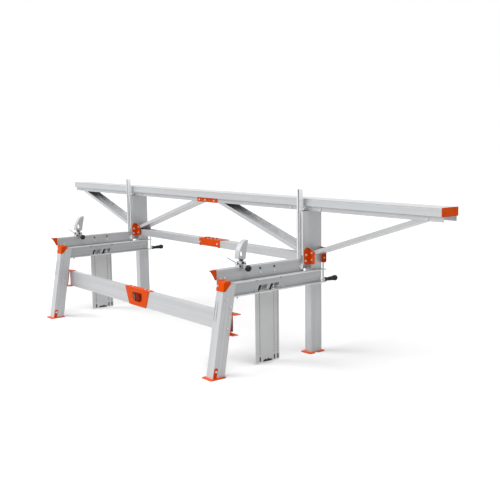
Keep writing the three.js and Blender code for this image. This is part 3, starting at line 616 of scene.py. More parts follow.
POWDER_COAT = Coated(
    "orange_powder_coat", "orange_paint", (0.77, 0.082, 0.001, 1), (0.69, 0.068, 0.001, 1),
    (0.8, 0.17, 0.02, 1), metallic=0.0, smooth=0.36, rough=0.5, relief=0.00006, soiling=0.4,
    wear=0.4, specular=0.06)
# The orange coat darkened as painted shade, for the strip behind the joint bracket's window
SHADED_COAT = Coated(
    "dark_red_powder_coat", "orange_paint", (0.3, 0.018, 0.003, 1), (0.2, 0.012, 0.002, 1),
    (0.4, 0.05, 0.01, 1), metallic=0.0, smooth=0.5, rough=0.65, relief=0.00006, soiling=0.4,
    wear=0.4, specular=0.06)
ZINC = Plated(
    "zinc_plating", "zinc_steel", (0.68, 0.69, 0.7, 1), (0.6, 0.615, 0.63, 1),
    (0.82, 0.82, 0.82, 1), metallic=0.6, smooth=0.3, rough=0.44, relief=0.00003, soiling=0.4)
DULL_ZINC = Plated(
    "dulled_zinc", "zinc_steel", (0.52, 0.53, 0.54, 1), (0.44, 0.45, 0.46, 1),
    (0.7, 0.7, 0.7, 1), metallic=0.3, smooth=0.4, rough=0.55, relief=0.00003, soiling=0.4)
# A near-white sheet as painted light, on the strip beside the post and on the front beams' plugs
PAINTED_LIGHT_SHEET = Plated(
    "light_zinc_sheet", "zinc_steel", (0.88, 0.88, 0.88, 1), (0.82, 0.82, 0.82, 1),
    (0.9, 0.9, 0.9, 1), metallic=0.1, smooth=0.4, rough=0.55, relief=0.00003, soiling=0.3)
GALVANISED = Plated(
    "galvanised_sheet", "zinc_steel", (0.62, 0.625, 0.625, 1), (0.56, 0.565, 0.57, 1),
    (0.75, 0.75, 0.75, 1), metallic=0.3, smooth=0.42, rough=0.56, relief=0.00004,
    edge_radius=0.0005, fineness=160.0)
OILED_STEEL = Plated(
    "oiled_steel", "zinc_steel", (0.2, 0.205, 0.21, 1), (0.14, 0.145, 0.15, 1),
    (0.6, 0.6, 0.6, 1), metallic=0.5, smooth=0.32, rough=0.5, relief=0.00003)
BLACK_STEEL = Plated(
    "blackened_steel", "zinc_steel", (0.05, 0.05, 0.055, 1), (0.03, 0.03, 0.032, 1),
    (0.3, 0.3, 0.3, 1), metallic=0.6, smooth=0.3, rough=0.5, relief=0.00003, edge_radius=0.0004)
# A dark fill for the post's groove, as painted shade there
GROOVE_SHADE = Moulded(
    "grey_rubber", "black_plastic", (0.1, 0.102, 0.108, 1), (0.07, 0.072, 0.076, 1),
    (0.16, 0.16, 0.165, 1), metallic=0.0, smooth=0.5, rough=0.7, relief=0.0001, wear=0.3,
    specular=0.2)
BLACK_PLASTIC = Moulded(
    "black_moulding", "black_plastic", (0.014, 0.014, 0.016, 1), (0.008, 0.008, 0.009, 1),
    (0.07, 0.07, 0.075, 1), metallic=0.0, smooth=0.34, rough=0.55, relief=0.00015, wear=0.4,
    specular=0.22)


# Meshes


def shell(name: str, shells: list[list[Ring]], looped: bool = False) -> bpy.types.Mesh:
    """Join rings of points into closed shells, smooth across shallow edges only.

    Args:
        name: The mesh's name.
        shells: For each shell its rings, in order, with as many points in each.
        looped: Whether the last ring joins the first, as in a hoop; otherwise both ends are capped.

    Returns:
        The mesh, with its faces pointing outwards.
    """
    points, faces = [], []
    for rings in shells:
        base, count = len(points), len(rings[0])
        points += [point for ring in rings for point in ring]
        steps = range(len(rings) if looped else len(rings) - 1)
        for step in steps:
            low, high = base + step * count, base + (step + 1) % len(rings) * count
            faces += [(low + i, low + (i + 1) % count, high + (i + 1) % count, high + i)
                      for i in range(count)]
        if not looped:
            last = base + (len(rings) - 1) * count
            faces += [tuple(range(base, base + count))[::-1], tuple(range(last, last + count))]
    mesh = bpy.data.meshes.new(name)
    mesh.from_pydata(points, [], faces)
    mesh.validate()
    mend_normals(mesh)
    return mesh


def mend_normals(mesh: bpy.types.Mesh, crease: float = 32.0) -> None:
    """Point a mesh's faces outwards and keep the edges that turn more than a crease sharp.

    Args:
        mesh: The mesh, which is changed.
        crease: The sharpest turn that stays smooth, in degrees.
    """
    work = bmesh.new()
    work.from_mesh(mesh)
    bmesh.ops.recalc_face_normals(work, faces=work.faces)
    for face in work.faces:
        face.smooth = True
    for edge in work.edges:
        edge.smooth = edge.is_manifold and edge.calc_face_angle(0.0) < math.radians(crease)
    work.to_mesh(mesh)
    work.free()


def circle(radius: float, height: float, count: int) -> Ring:
    """Give a level ring of points around the vertical axis."""
    turns = (math.tau * i / count for i in range(count))
    return [Vector((radius * math.cos(a), radius * math.sin(a), height)) for a in turns]


def ring_between(centre: Vector, side: Vector, other: Vector, radius: float, count: int) -> Ring:
    """Give a ring of points around a centre, in the plane of two directions."""
    turns = (math.tau * i / count for i in range(count))
    return [centre + (side * math.cos(a) + other * math.sin(a)) * radius for a in turns]


def hoop(centre: Vector, axis: Vector, radius: float, count: int) -> Ring:
    """Give a ring of points around an axis, in metres."""
    side = axis.orthogonal().normalized()
    return ring_between(centre, side, axis.normalized().cross(side), radius, count)


def raised(section: Outline, place: Pair, heights: Pair) -> list[Ring]:
    """Raise a level section, set out from a place on the floor, from one height to another."""
    return [[spot(place[0] + x, place[1] + y, z) for x, y in section] for z in heights]


def turned(name: str, outline: list[Pair], start: Vector, axis: Triple,
           bored: bool = False, count: int = 40) -> bpy.types.Mesh:
    """Turn an outline round an axis.

    Args:
        name: The mesh's name.
        outline: Places along the axis and their radii, in millimetres.
        start: Where the axis starts.
        axis: Which way it runs.
        bored: Whether the outline is closed, round a bore.
        count: How many sides it gets.

    Returns:
        The turned mesh.
    """
    run = Vector(axis)
    rings = [hoop(start + run * along * MM, run, radius * MM, count) for along, radius in outline]
    return shell(name, [rings], looped=bored)


def eased(a: float, b: float, c: float, d: float, t: float) -> float:
    """Give the number a share of the way from b to c, on a smooth line through all four."""
    bend = (2 * a - 5 * b + 4 * c - d) * t ** 2 + (3 * b - a - 3 * c + d) * t ** 3
    return 0.5 * (2 * b + (c - a) * t + bend)


def flowing(points: Outline, steps: int) -> list[Pair]:
    """Draw a smooth line through points, with a number of steps between each two.

    Args:
        points: The points, of which the line meets each.
        steps: The number of steps.

    Returns:
        The points on the line.
    """
    ends, line = [points[0], *points, points[-1]], []
    for near in zip(ends, ends[1:], ends[2:], ends[3:]):
        line += [tuple(eased(*numbers, step / steps) for numbers in zip(*near))
                 for step in range(steps)]
    return [*line, points[-1]]


def wire(name: str, path: list[Vector], radius: float, across: Vector,
         count: int = 10) -> bpy.types.Mesh:
    """Bend a round wire along a path that never runs along a given direction.

    Args:
        name: The mesh's name.
        path: The points that it follows, in metres.
        radius: Its radius, in metres.
        across: The direction that the path never takes.
        count: How many sides it gets.

    Returns:
        The wire's mesh.
    """
    rings = []
    for i, point in enumerate(path):
        ahead = (path[min(i + 1, len(path) - 1)] - path[max(i - 1, 0)]).normalized()
        side = across.cross(ahead).normalized()
        rings.append(ring_between(point, side, ahead.cross(side), radius, count))
    return shell(name, [rings])


def add_piece(name: str, mesh: bpy.types.Mesh, finish: Finish, body: str) -> bpy.types.Object:
    """Put a mesh into the scene as a finished piece.

    Args:
        name: The piece's name.
        mesh: Its mesh, already in the model's frame.
        finish: What it is finished in.
        body: The body that it rides on.

    Returns:
        The piece's object.
    """
    piece = bpy.data.objects.new(name, mesh)
    bpy.context.scene.collection.objects.link(piece)
    if not mesh.materials:
        mesh.materials.append(finish.material())
    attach(piece, body)
    return piece


def add_shells(name: str, shells: list[list[Ring]], finish: Finish, body: str) -> None:
    """Join rings into closed shells and put them into the scene as one piece."""
    add_piece(name, shell(name, shells), finish, body)


def grown(name: str, source: bpy.types.Mesh, tree: bpy.types.NodeTree,
          inputs: dict[str, object]) -> bpy.types.Mesh:
    """Run a Geometry Nodes tree on a mesh and keep what it makes as a plain mesh.

    Args:
        name: The new mesh's name.
        source: The mesh that the tree starts from.
        tree: The tree.
        inputs: The tree's input values by name.

    Returns:
        The plain mesh.
    """
    holder = bpy.data.objects.new(name, source)
    bpy.context.scene.collection.objects.link(holder)
    modifier = holder.modifiers.new("grow", "NODES")
    modifier.node_group = tree
    for key, value in inputs.items():
        modifier[tree.interface.items_tree[key].identifier] = value
    seen = holder.evaluated_get(bpy.context.evaluated_depsgraph_get())
    mesh = bpy.data.meshes.new_from_object(seen)
    holder.modifiers.remove(modifier)
    bpy.data.objects.remove(holder)
    mesh.name = name
    return mesh


# Fasteners


class Kind(Enum):
    """The fasteners on the mill, and the ripples of its welds."""

    BOLT = "bolts"
    NUT = "nuts"
    SCREW = "screws"
    WELD = "welds"


@dataclass(frozen=True)
class FastenerForm:
    """One fastener drawn upright on the level, at the size of an M8 bolt, in millimetres.

    The flat is half the width across the flats. An outline gives shares of the flat, or a weld's
    radii, each with its height, or in a top with its depth below it. The thread starts at two
    depths below the nut's top, first its foot and then its first turn, and its foot, its root and
    its tip are shares of its radius.
    """

    sides: int = 24
    washer_radius: float = 8.2
    washer_height: float = 1.6
    washer_edge: float = 0.25
    flat: float = 6.5
    foot_share: float = 0.96
    foot_height: float = 0.35
    chamfer: float = 0.6
    head_height: float = 5.3
    head_top: Outline = ((0.95, 0.0), (0.7, 0.0), (0.62, 0.4))
    nut_growth: float = 1.2
    nut_top: Outline = ((0.95, 0.0), (0.72, 0.0), (0.66, 0.5))
    thread_radius: float = 4.0
    thread_pitch: float = 1.25
    thread_turns: int = 6
    thread_starts: Pair = (1.0, 0.6)
    thread_shares: Triple = (0.9, 0.86, 0.78)
    screw_rounds: Outline = ((1.02, 0.0), (1.08, 0.4), (1.05, 1.2), (0.9, 2.0), (0.66, 2.5))
    screw_socket: Outline = ((0.42, 2.5), (0.4, 1.1))
    ripple_rounds: Outline = ((2.6, -1.0), (2.5, 0.2), (1.9, 0.9), (0.9, 1.3))

    def round(self, radius: float, height: float) -> Ring:
        """Give a round ring with the fastener's number of sides."""
        return circle(radius, height, self.sides)

    def hexagon(self, height: float, share: float = 1.0, rise: float = 0.0) -> Ring:
        """Give a hexagonal ring whose corners drop by the rise times their reach past the flats.

        Args:
            height: Where the flats end.
            share: How far the ring is drawn in.
            rise: How steeply the corners drop.

        Returns:
            The ring.
        """
        ring = []
        for i in range(self.sides):
            turn = math.tau * i / self.sides
            reach = self.flat / math.cos((turn + math.pi / 6) % (math.pi / 3) - math.pi / 6)
            across, drop = share * reach, rise * (reach - self.flat)
            ring.append(Vector((across * math.cos(turn), across * math.sin(turn), height - drop)))
        return ring

    def washer(self) -> list[Ring]:
        """Give the washer's rings.

        Returns:
            The rings from the foot up.
        """
        edge, outer, top = self.washer_edge, self.washer_radius, self.washer_height
        rounds = ((outer - edge, 0.0), (outer, edge), (outer, top - edge), (outer - edge, top))
        return [self.round(*each) for each in rounds]

    def head(self) -> list[Ring]:
        """Give a chamfered hexagonal head with a shallow dish on top.

        Returns:
            The rings from the foot up.
        """
        low, high = self.washer_height, self.washer_height + self.head_height
        return [self.hexagon(low, self.foot_share), self.hexagon(low + self.foot_height),
                self.hexagon(high, rise=self.chamfer),
                *(self.round(share * self.flat, high - depth) for share, depth in self.head_top)]

    def bolt(self) -> list[list[Ring]]:
        """Give a washer and the head on it."""
        return [self.washer(), self.head()]

    def nut(self) -> list[list[Ring]]:
        """Give a washer, the nut on it and the threaded end that stands out.

        Returns:
            The rings of each.
        """
        low, high = self.washer_height, self.washer_height + self.nut_growth * self.head_height
        body = [self.hexagon(low, self.foot_share), self.hexagon(low, rise=-self.chamfer),
                self.hexagon(high, rise=self.chamfer),
                *(self.round(share * self.flat, high - depth) for share, depth in self.nut_top)]
        (foot, first), (bottom, root, tip) = self.thread_starts, self.thread_shares
        thread = [self.round(self.thread_radius * bottom, high - foot)]
        for turn in range(self.thread_turns):
            start = high - first + turn * self.thread_pitch
            thread += [self.round(self.thread_radius * root, start),
                       self.round(self.thread_radius, start + self.thread_pitch / 2)]
        top = high - first + self.thread_turns * self.thread_pitch
        return [self.washer(), body, [*thread, self.round(self.thread_radius * tip, top)]]

    def screw(self) -> list[list[Ring]]:
        """Give a low round head with a six-sided socket."""
        rounds = [self.round(share * self.flat, height) for share, height in self.screw_rounds]
        return [rounds + [self.hexagon(height, share) for share, height in self.screw_socket]]

    def ripple(self) -> list[list[Ring]]:
        """Give one low ripple of a weld."""
        return [[circle(radius, height, self.sides // 2) for radius, height in self.ripple_rounds]]

    def mesh(self, kind: Kind) -> bpy.types.Mesh:
        """Build the mesh of one kind of fastener.

        Args:
            kind: The kind.

        Returns:
            The mesh, in metres.
        """
        draw = {Kind.BOLT: self.bolt, Kind.NUT: self.nut, Kind.SCREW: self.screw,
                Kind.WELD: self.ripple}[kind]
        scaled = [[[point * MM for point in ring] for ring in rings] for rings in draw()]
        return shell(f"{kind.value}_form", scaled)


@dataclass(frozen=True)
class Seat:
    """A place for a fastener: its node, a point near it in millimetres, and which way it faces."""

    node: str
    near: Triple
    facing: Triple
    kind: Kind = Kind.BOLT
    size: float = 1.0


def seam(node: str, start: Triple, end: Triple, facing: Triple, pitch: float = 2.4) -> list[Seat]:
    """Lay the ripples of a weld from one point to another in the corner between two faces.

    Args:
        node: The node that the weld lies on.
        start: Where the weld starts.
        end: Where it ends.
        facing: Which way the ripples face.
        pitch: The distance between two ripples.

    Returns:
        The ripples' places.
    """
    first, last = Vector(start), Vector(end)
    count = max(2, round((last - first).length / pitch))
    return [Seat(node, tuple(first.lerp(last, i / count)), facing, Kind.WELD)
            for i in range(count + 1)]


@dataclass(frozen=True)
class Fasteners:
    """All the bolts, nuts and screws, set down on the model's own surfaces."""

    reach: float = 40.0
    sink: float = 0.1
    seed: int = 7

    @staticmethod
    @functools.cache
    def surface(node: str) -> BVHTree:
        """Give a node's faces in a form that lines can be tested against.

        Args:
            node: The node's name.

        Returns:
            The faces.
        """
        mesh = frame["nodes"][node].data
        faces = [tuple(face.vertices) for face in mesh.polygons]
        return BVHTree.FromPolygons([vertex.co for vertex in mesh.vertices], faces)

    def landing(self, seat: Seat) -> Vector:
        """Find where a line against the facing direction meets the node.

        Args:
            seat: The fastener's place.

        Returns:
            The point, sunk a little below the surface, in metres.
        """
        facing = Vector(seat.facing).normalized()
        start = spot(*seat.near) + facing * self.reach * MM
        point, _, _, _ = self.surface(seat.node).ray_cast(start, -facing, 2 * self.reach * MM)
        if point is None:
            raise ValueError(f"no surface of {seat.node} near {seat.near}")
        return point - facing * self.sink * MM

    @functools.cache
    def tree(self) -> bpy.types.NodeTree:
        """Build the tree that sets a fastener on every point, turned to face its own way.

        Returns:
            The tree, with inputs for the form and the finish.
        """
        sketch, given, result = open_group(
            "seated_fasteners", "GeometryNodeTree",
            {"Geometry": ("NodeSocketGeometry", None), "Form": ("NodeSocketObject", None),
             "Finish": ("NodeSocketMaterial", None)}, {"Geometry": "NodeSocketGeometry"})
        facing = sketch.add("GeometryNodeInputNamedAttribute", {"Name": "facing"},
                            data_type="FLOAT_VECTOR")
        size = sketch.add("GeometryNodeInputNamedAttribute", {"Name": "size"}, data_type="FLOAT")
        turns = {RANDOM_LOW: 0.0, RANDOM_HIGH: math.tau, "Seed": self.seed}
        spin = sketch.add("FunctionNodeRandomValue", turns, data_type="FLOAT")
        aim = sketch.add("FunctionNodeAlignRotationToVector", {"Vector": facing.outputs[0]},
                         axis="Z")
        turn = sketch.add("FunctionNodeAxisAngleToRotation",
                          {"Axis": (0.0, 0.0, 1.0), "Angle": spin.outputs[RANDOM_NUMBER]})
        both = sketch.add("FunctionNodeRotateRotation", {0: aim.outputs[0], 1: turn.outputs[0]},
                          rotation_space="LOCAL")
        form = sketch.add("GeometryNodeObjectInfo", {"Object": given.outputs["Form"]})
        stood = sketch.add("GeometryNodeInstanceOnPoints", {
            "Points": given.outputs["Geometry"], "Instance": form.outputs["Geometry"],
            "Rotation": both.outputs[0], "Scale": size.outputs[0]})
        real = sketch.add("GeometryNodeRealizeInstances", {"Geometry": stood.outputs[0]})
        done = sketch.add("GeometryNodeSetMaterial", {
            "Geometry": real.outputs[0], "Material": given.outputs["Finish"]})
        sketch.feed(result.inputs["Geometry"], done.outputs[0])
        return sketch.tree

    def build(self, seats: list[Seat], finish: Finish) -> list[bpy.types.Object]:
        """Set the fasteners on their seats, with one piece for each kind and body.

        Args:
            seats: Where they go.
            finish: What they are finished in.

        Returns:
            The pieces.
        """
        tree, form, pieces = self.tree(), FastenerForm(), []
        bodies = frame["record"]["behaviour"]["bodies"]
        body_of = {node: body for body, nodes in bodies.items() for node in nodes}
        for kind in Kind:
            pattern = bpy.data.objects.new(f"{kind.value}_pattern", form.mesh(kind))
            for body in dict.fromkeys(body_of[seat.node] for seat in seats):
                mine = [seat for seat in seats if seat.kind is kind and body_of[seat.node] == body]
                if mine:
                    name = f"{body}_{finish.name}_{kind.value}"
                    mesh = self.fill(name, mine, tree, pattern, finish)
                    pieces.append(add_piece(mesh.name, mesh, finish, body))
            bpy.data.objects.remove(pattern)
        return pieces

    def fill(self, name: str, seats: list[Seat], tree: bpy.types.NodeTree,
             pattern: bpy.types.Object, finish: Finish) -> bpy.types.Mesh:
        """Make the mesh of one body's fasteners of one kind.

        Args:
            name: The mesh's name.
            seats: The places.
            tree: The tree that sets the fasteners.
            pattern: One fastener of the kind.
            finish: What they are finished in.

        Returns:
            The mesh.
        """
        points = bpy.data.meshes.new(f"{name}_seats")
        points.from_pydata([self.landing(seat) for seat in seats], [], [])
        facing = points.attributes.new("facing", "FLOAT_VECTOR", "POINT")
        facing.data.foreach_set("vector", [step for seat in seats for step in seat.facing])
        size = points.attributes.new("size", "FLOAT", "POINT")
        size.data.foreach_set("value", [seat.size for seat in seats])
        return grown(name, points, tree, {"Form": pattern, "Finish": finish.material()})


# Sub-assemblies

LEFTWARD, RIGHTWARD = (-1.0, 0.0, 0.0), (1.0, 0.0, 0.0)
FORWARD, BACKWARD = (0.0, -1.0, 0.0), (0.0, 1.0, 0.0)
UPWARD, DOWNWARD = (0.0, 0.0, 1.0), (0.0, 0.0, -1.0)
LEG_FRONTWARD = (0.0, -1.0, LEG_LEAN)
WELD_FACING = (1.0, 0.0, 1.0)


class Assembly:
    """One part of the mill, which dresses its nodes, adds pieces and lists its fasteners."""

    def dress(self) -> None:
        """Give the nodes their finishes."""
        raise NotImplementedError

    def pieces(self) -> None:
        """Make the pieces that stand beside or for the nodes."""
        raise NotImplementedError

    def seats(self) -> list[Seat]:
        """List the bright fasteners, where there are any."""
        return []

    def dark_seats(self) -> list[Seat]:
        """List the blackened fasteners, where there are any."""
        return []

    def welds(self) -> list[Seat]:
        """List the ripples of the welds, where there are any."""
        return []


@dataclass(frozen=True)
class Truss(Assembly):
    """The guide rail, its braces, the beams between the trestles and their joints.

    A row lists places along the rail. A level gives a row's distance back and its height. The end
    of a plug is its place and which way it faces in, and its steps give how far in each ring lies
    with how much smaller than the beam's bore it is.
    """

    brace_rise: float = 365
    brace_run: float = 1190
    bolt_size: float = 1.15
    rail_row: Row = (-2614, -1549, -1403, -1363, -1200, 1200, 1363, 1403, 1549, 2614)
    rail_level: Pair = (22, 1206)
    rail_nut_level: Pair = (160, 1206)
    joint_row: Row = (-118, -27, 117)
    joint_level: Pair = (18, 1208)
    back_joint_row: Row = (-150, 132)
    back_joint_level: Pair = (33, 795)
    back_joint_top_row: Row = (-98, 27)
    back_joint_top_levels: tuple[Pair, ...] = ((62, 833), (104, 833))
    front_joint_row: Row = (-105, -41, 168, 232)
    front_joint_level: Pair = (-787, 469)
    front_nut_row: Row = (-38, 165)
    front_nut_level: Pair = (-787, 315)
    strip_middle: Pair = (56, -806)
    strip_folds: Outline = (
        (-44, 0), (-40, 4), (-13, 4), (-10, 1), (10, 1), (13, 4), (40, 4), (44, 0))
    strip_gauge: float = 2.5
    strip_heights: Pair = (322, 458)
    plug_ends: tuple[Pair, ...] = ((-31.5, -1), (158.5, 1))
    plug_steps: Outline = ((12.0, 0.6), (0.5, 0.6), (-1.0, 0.6), (-1.6, 1.8))
    plug_depths: Pair = (-806.8, -768.3)
    plug_heights: Pair = (318.3, 461.7)
    plug_corner: float = 4.0

    def dress(self) -> None:
        """Give the profiles and plates their finishes."""
        aluminium("along_x", RIGHTWARD).dress(
            "left_guide_rail", "right_guide_rail", "left_back_beam", "right_back_beam",
            "left_front_beam", "right_front_beam")
        run, rise = self.brace_run, self.brace_rise
        rising_right = aluminium("rising_right", (run, 0, rise))
        rising_left = aluminium("rising_left", (-run, 0, rise))
        rising_right.dress("right_outer_brace", "left_inner_brace")
        rising_left.dress("left_outer_brace", "right_inner_brace")
        POWDER_COAT.dress("rail_end_cap", "rail_joint_plate", "back_joint_plate",
                          "inner_beam_bracket", "front_joint_bracket")

    def pieces(self) -> None:
        """Make the strip and the plugs at the front beams' joint."""
        self.strip()
        self.beam_plugs()

    def strip(self) -> None:
        """Fold the stiffening strip that stands behind the joint bracket's window, in the orange
        coat darkened as painted shade.
        """
        under = [(x, y - self.strip_gauge) for x, y in reversed(self.strip_folds)]
        rings = raised([*self.strip_folds, *under], self.strip_middle, self.strip_heights)
        add_shells("joint_strip", [rings], SHADED_COAT, "frame")

    def beam_plugs(self) -> None:
        """Close the front beams' ends at the joint with chamfered plugs, near-white as painted
        light.
        """
        shells, cut = [], self.plug_corner
        for end, turn in self.plug_ends:
            rings = []
            for depth, inset in self.plug_steps:
                low, high = self.plug_depths[0] + inset, self.plug_depths[1] - inset
                foot, top = self.plug_heights[0] + inset, self.plug_heights[1] - inset
                ring = [(low + cut, foot), (high - cut, foot), (high, foot + cut),
                        (high, top - cut), (high - cut, top), (low + cut, top),
                        (low, top - cut), (low, foot + cut)]
                rings.append([spot(end + turn * depth, y, z) for y, z in ring])
            shells.append(rings)
        add_shells("front_beam_plugs", shells, PAINTED_LIGHT_SHEET, "frame")

    def row(self, node: str, places: Row, level: Pair, facing: Triple) -> list[Seat]:
        """Lay a row of bolts along the rail's direction."""
        return [Seat(node, (x, *level), facing, size=self.bolt_size) for x in places]

    def seats(self) -> list[Seat]:
        """List the bright fasteners of the truss.

        Returns:
            Their places.
        """
        seats = []
        for x in self.rail_row:
            rail = "left_guide_rail" if x < 0 else "right_guide_rail"
            seats += self.row(rail, (x,), self.rail_level, FORWARD)
            seats.append(Seat(rail, (x, *self.rail_nut_level), BACKWARD, Kind.NUT))
        seats += self.row("rail_joint_plate", self.joint_row, self.joint_level, FORWARD)
        seats += self.row("back_joint_plate", self.back_joint_row, self.back_joint_level, FORWARD)
        seats += self.row("front_joint_bracket", self.front_joint_row, self.front_joint_level,
                          UPWARD)
        beams = ("left_front_beam", "right_front_beam")
        return seats + [Seat(beam, (x, *self.front_nut_level), DOWNWARD, Kind.NUT)
                        for beam, x in zip(beams, self.front_nut_row)]

    def dark_seats(self) -> list[Seat]:
        """List the blackened bolts of the truss."""
        return [seat for x in self.back_joint_top_row for level in self.back_joint_top_levels
                for seat in self.row("back_joint_plate", (x,), level, UPWARD)]


@dataclass(frozen=True)
class TrestlePart(Assembly):
    """A part of the mill that each trestle has, with its places measured from that trestle."""

    side: Side

    def part(self, name: str) -> str:
        """Name a node, a body or a piece of this trestle."""
        return self.side.part(name)

    def at(self, x: float, y: float, z: float) -> Triple:
        """Turn a place on the trestle into a place on the mill."""
        return (self.side.x + x, y, z)

    def seat(self, node: str, near: Triple, facing: Triple, kind: Kind = Kind.BOLT,
             size: float = 1.0) -> Seat:
        """Place a fastener on one of the trestle's nodes."""
        return Seat(self.part(node), self.at(*near), facing, kind, size)


@dataclass(frozen=True)
class Trestle(TrestlePart):
    """One trestle: its column, fixed beam, leg and the plates that join them.

    A places field lists pairs of a distance back and a height. A spot field lists triples that
    start with the distance to the right of the trestle's middle.
    """

    large: float = 1.1
    plate_bolt_size: float = 1.15
    column_bolt_size: float = 0.9
    web_face: float = 42.3
    # The fixed beam is darkened a little as painted shade, and lightened past its lips as painted
    # light
    lips_from: float = 43
    beam_painted_shade: float = 0.92
    web_places: Outline = ((-550, 607), (-270, 607), (60, 621), (138, 624), (145, 607))
    dark_web_places: Outline = ((-537, 689), (-291, 688))
    leg_top_spot: Triple = (70, -748, 590)
    node_face: float = 42
    node_places: Outline = ((-15, 832), (-21, 784))
    node_flange_places: Outline = ((23, 848), (23, 792))
    node_flange_reach: float = 72
    peak_place: Pair = (11, 879)
    rear_reach: float = 75
    rear_nut_place: Pair = (165, 797)
    rear_places: Outline = ((162, 797), (162, 840))
    leg_faces: Pair = (22, 105)
    leg_places: Outline = ((-878, 588), (-842, 529), (-859, 451), (-875, 369))
    cap_spot: Triple = (33, -902, 686)
    column_face: float = 38
    column_places: Outline = ((81, 29), (103, 47))
    foot_spot: Triple = (109, -988, 58)
    bracket_spots: tuple[Triple, Triple] = ((88, -795, 469), (88, -795, 311))
    foot_weld: tuple[Triple, Triple] = ((109.3, -1012, 5), (109.3, -988, 5))
    bracket_welds: Outline = ((-852, 314.7), (-825, 469.3))
    bracket_weld_span: Pair = (2, 13)
    window_starts: Pair = (-532.3, -414.3)
    window_slant: float = 24
    window_height: float = 50
    # Dark pieces that paint the shadows at the front edges of the beam's windows
    shadow_heights: Pair = (595.6, 644.4)
    shadow_faces: Pair = (33.0, 37.6)
    shadow_width: float = 25
    shadow_gap: float = 0.8
    shadow_flare: float = 2.0
    # The bright strip that paints light over the shade between the column's fin and the post
    light_strip_section: Outline = (
        (26.5, -45.3), (25.6, -46.4), (25.6, -48.0), (27.0, -49.2), (36.2, -49.2), (37.8, -47.8),
        (37.8, -45.3))
    light_strip_heights: Pair = (832, 1186)

    def dress(self) -> None:
        """Give the trestle's nodes their finishes, with the fixed beam darkened as painted shade
        and its lips lightened as painted light.
        """
        part = self.part
        aluminium("upright", UPWARD).dress(part("column"))
        # Past the beam's web its lips are lightened as painted light
        lips = spot(*self.at(self.lips_from, 0, 0)).x
        aluminium(part("beam"), BACKWARD, self.beam_painted_shade, lips).dress(part("fixed_beam"))
        aluminium("leaning", (0.0, LEG_LEAN, 1.0)).dress(part("leg"))
        POWDER_COAT.dress(*map(part, (
            "column_foot", "node_plate_right", "node_plate_left", "rear_plate", "beam_cap",
            "leg_foot", "beam_bracket")))

    def pieces(self) -> None:
        """Make the dark pieces that paint shadows in the beam's windows and the strip that paints
        light.
        """
        self.shoes()
        self.slide_strip()

    def shoes(self) -> None:
        """Set dark moulded pieces behind the front part of the beam's windows, as painted shadow at
        their edges.
        """
        shells, (low, high) = [], self.shadow_heights
        lean = self.window_slant * (high - low) / self.window_height
        for window in self.window_starts:
            start, end = window + self.shadow_gap, window + self.shadow_width
            ring = [(start, low), (end, low), (end + lean + self.shadow_flare, high),
                    (start + lean, high)]
            shells.append([[spot(*self.at(x, y, z)) for y, z in ring] for x in self.shadow_faces])
        add_shells(self.part("guide_shoes"), shells, BLACK_PLASTIC, "frame")

    def slide_strip(self) -> None:
        """Fix a bright rounded strip along the column's right-hand fin, as painted light over the
        shade between fin and post.
        """
        rings = raised(self.light_strip_section, (self.side.x, 0), self.light_strip_heights)
        add_shells(self.part("slide_strip"), [rings], PAINTED_LIGHT_SHEET, "frame")

    def seats(self) -> list[Seat]:
        """List the trestle's bright fasteners.

        Returns:
            Their places.
        """
        seat = self.seat
        sides = ((-1, "node_plate_left", LEFTWARD), (1, "node_plate_right", RIGHTWARD))
        seats = [seat("fixed_beam", (self.web_face, *place), RIGHTWARD)
                 for place in self.web_places]
        seats.append(seat("fixed_beam", self.leg_top_spot, DOWNWARD, Kind.NUT, self.large))
        for turn, node, facing in reversed(sides):
            face, flange, rear = (
                turn * reach for reach in (self.node_face, self.node_flange_reach, self.rear_reach))
            seats += [seat(node, (face, *place), facing, size=self.plate_bolt_size)
                      for place in self.node_places]
            seats += [seat(node, (flange, *place), FORWARD, size=self.large)
                      for place in self.node_flange_places]
            seats.append(seat("rear_plate", (rear, *self.rear_nut_place), BACKWARD, Kind.NUT))
            seats += [seat("rear_plate", (rear, *place), FORWARD) for place in self.rear_places]
        inner, outer = self.leg_faces
        for place in self.leg_places:
            seats.append(seat("leg", (outer, *place), RIGHTWARD))
            seats.append(seat("leg", (inner, *place), LEFTWARD, Kind.NUT))
        seats.append(seat("beam_cap", self.cap_spot, LEG_FRONTWARD, size=self.large))
        for turn, _, facing in sides:
            seats += [seat("column", (turn * self.column_face, *place), facing,
                           size=self.column_bolt_size) for place in self.column_places]
        above, below = self.bracket_spots
        return [*seats, seat("leg_foot", self.foot_spot, RIGHTWARD, size=self.large),
                seat("beam_bracket", above, UPWARD),
                seat("beam_bracket", below, DOWNWARD, Kind.NUT)]

    def dark_seats(self) -> list[Seat]:
        """List the trestle's blackened bolts.

        Returns:
            Their places.
        """
        seats = [self.seat("fixed_beam", (self.web_face, *place), RIGHTWARD)
                 for place in self.dark_web_places]
        sides = (("node_plate_right", self.node_face, RIGHTWARD),
                 ("node_plate_left", -self.node_face, LEFTWARD))
        return seats + [self.seat(node, (face, *self.peak_place), facing, Kind.SCREW)
                        for node, face, facing in sides]

    def welds(self) -> list[Seat]:
        """List the ripples of the welds on the foot and on the bracket.

        Returns:
            The ripples' places.
        """
        (first, last), reach = self.bracket_weld_span, self.leg_faces[1]
        seams = [("leg_foot", *self.foot_weld)]
        seams += [("beam_bracket", (reach, y + first, z), (reach, y + last, z))
                  for y, z in self.bracket_welds]
        return [seat for node, start, end in seams
                for seat in seam(self.part(node), self.at(*start), self.at(*end), WELD_FACING)]


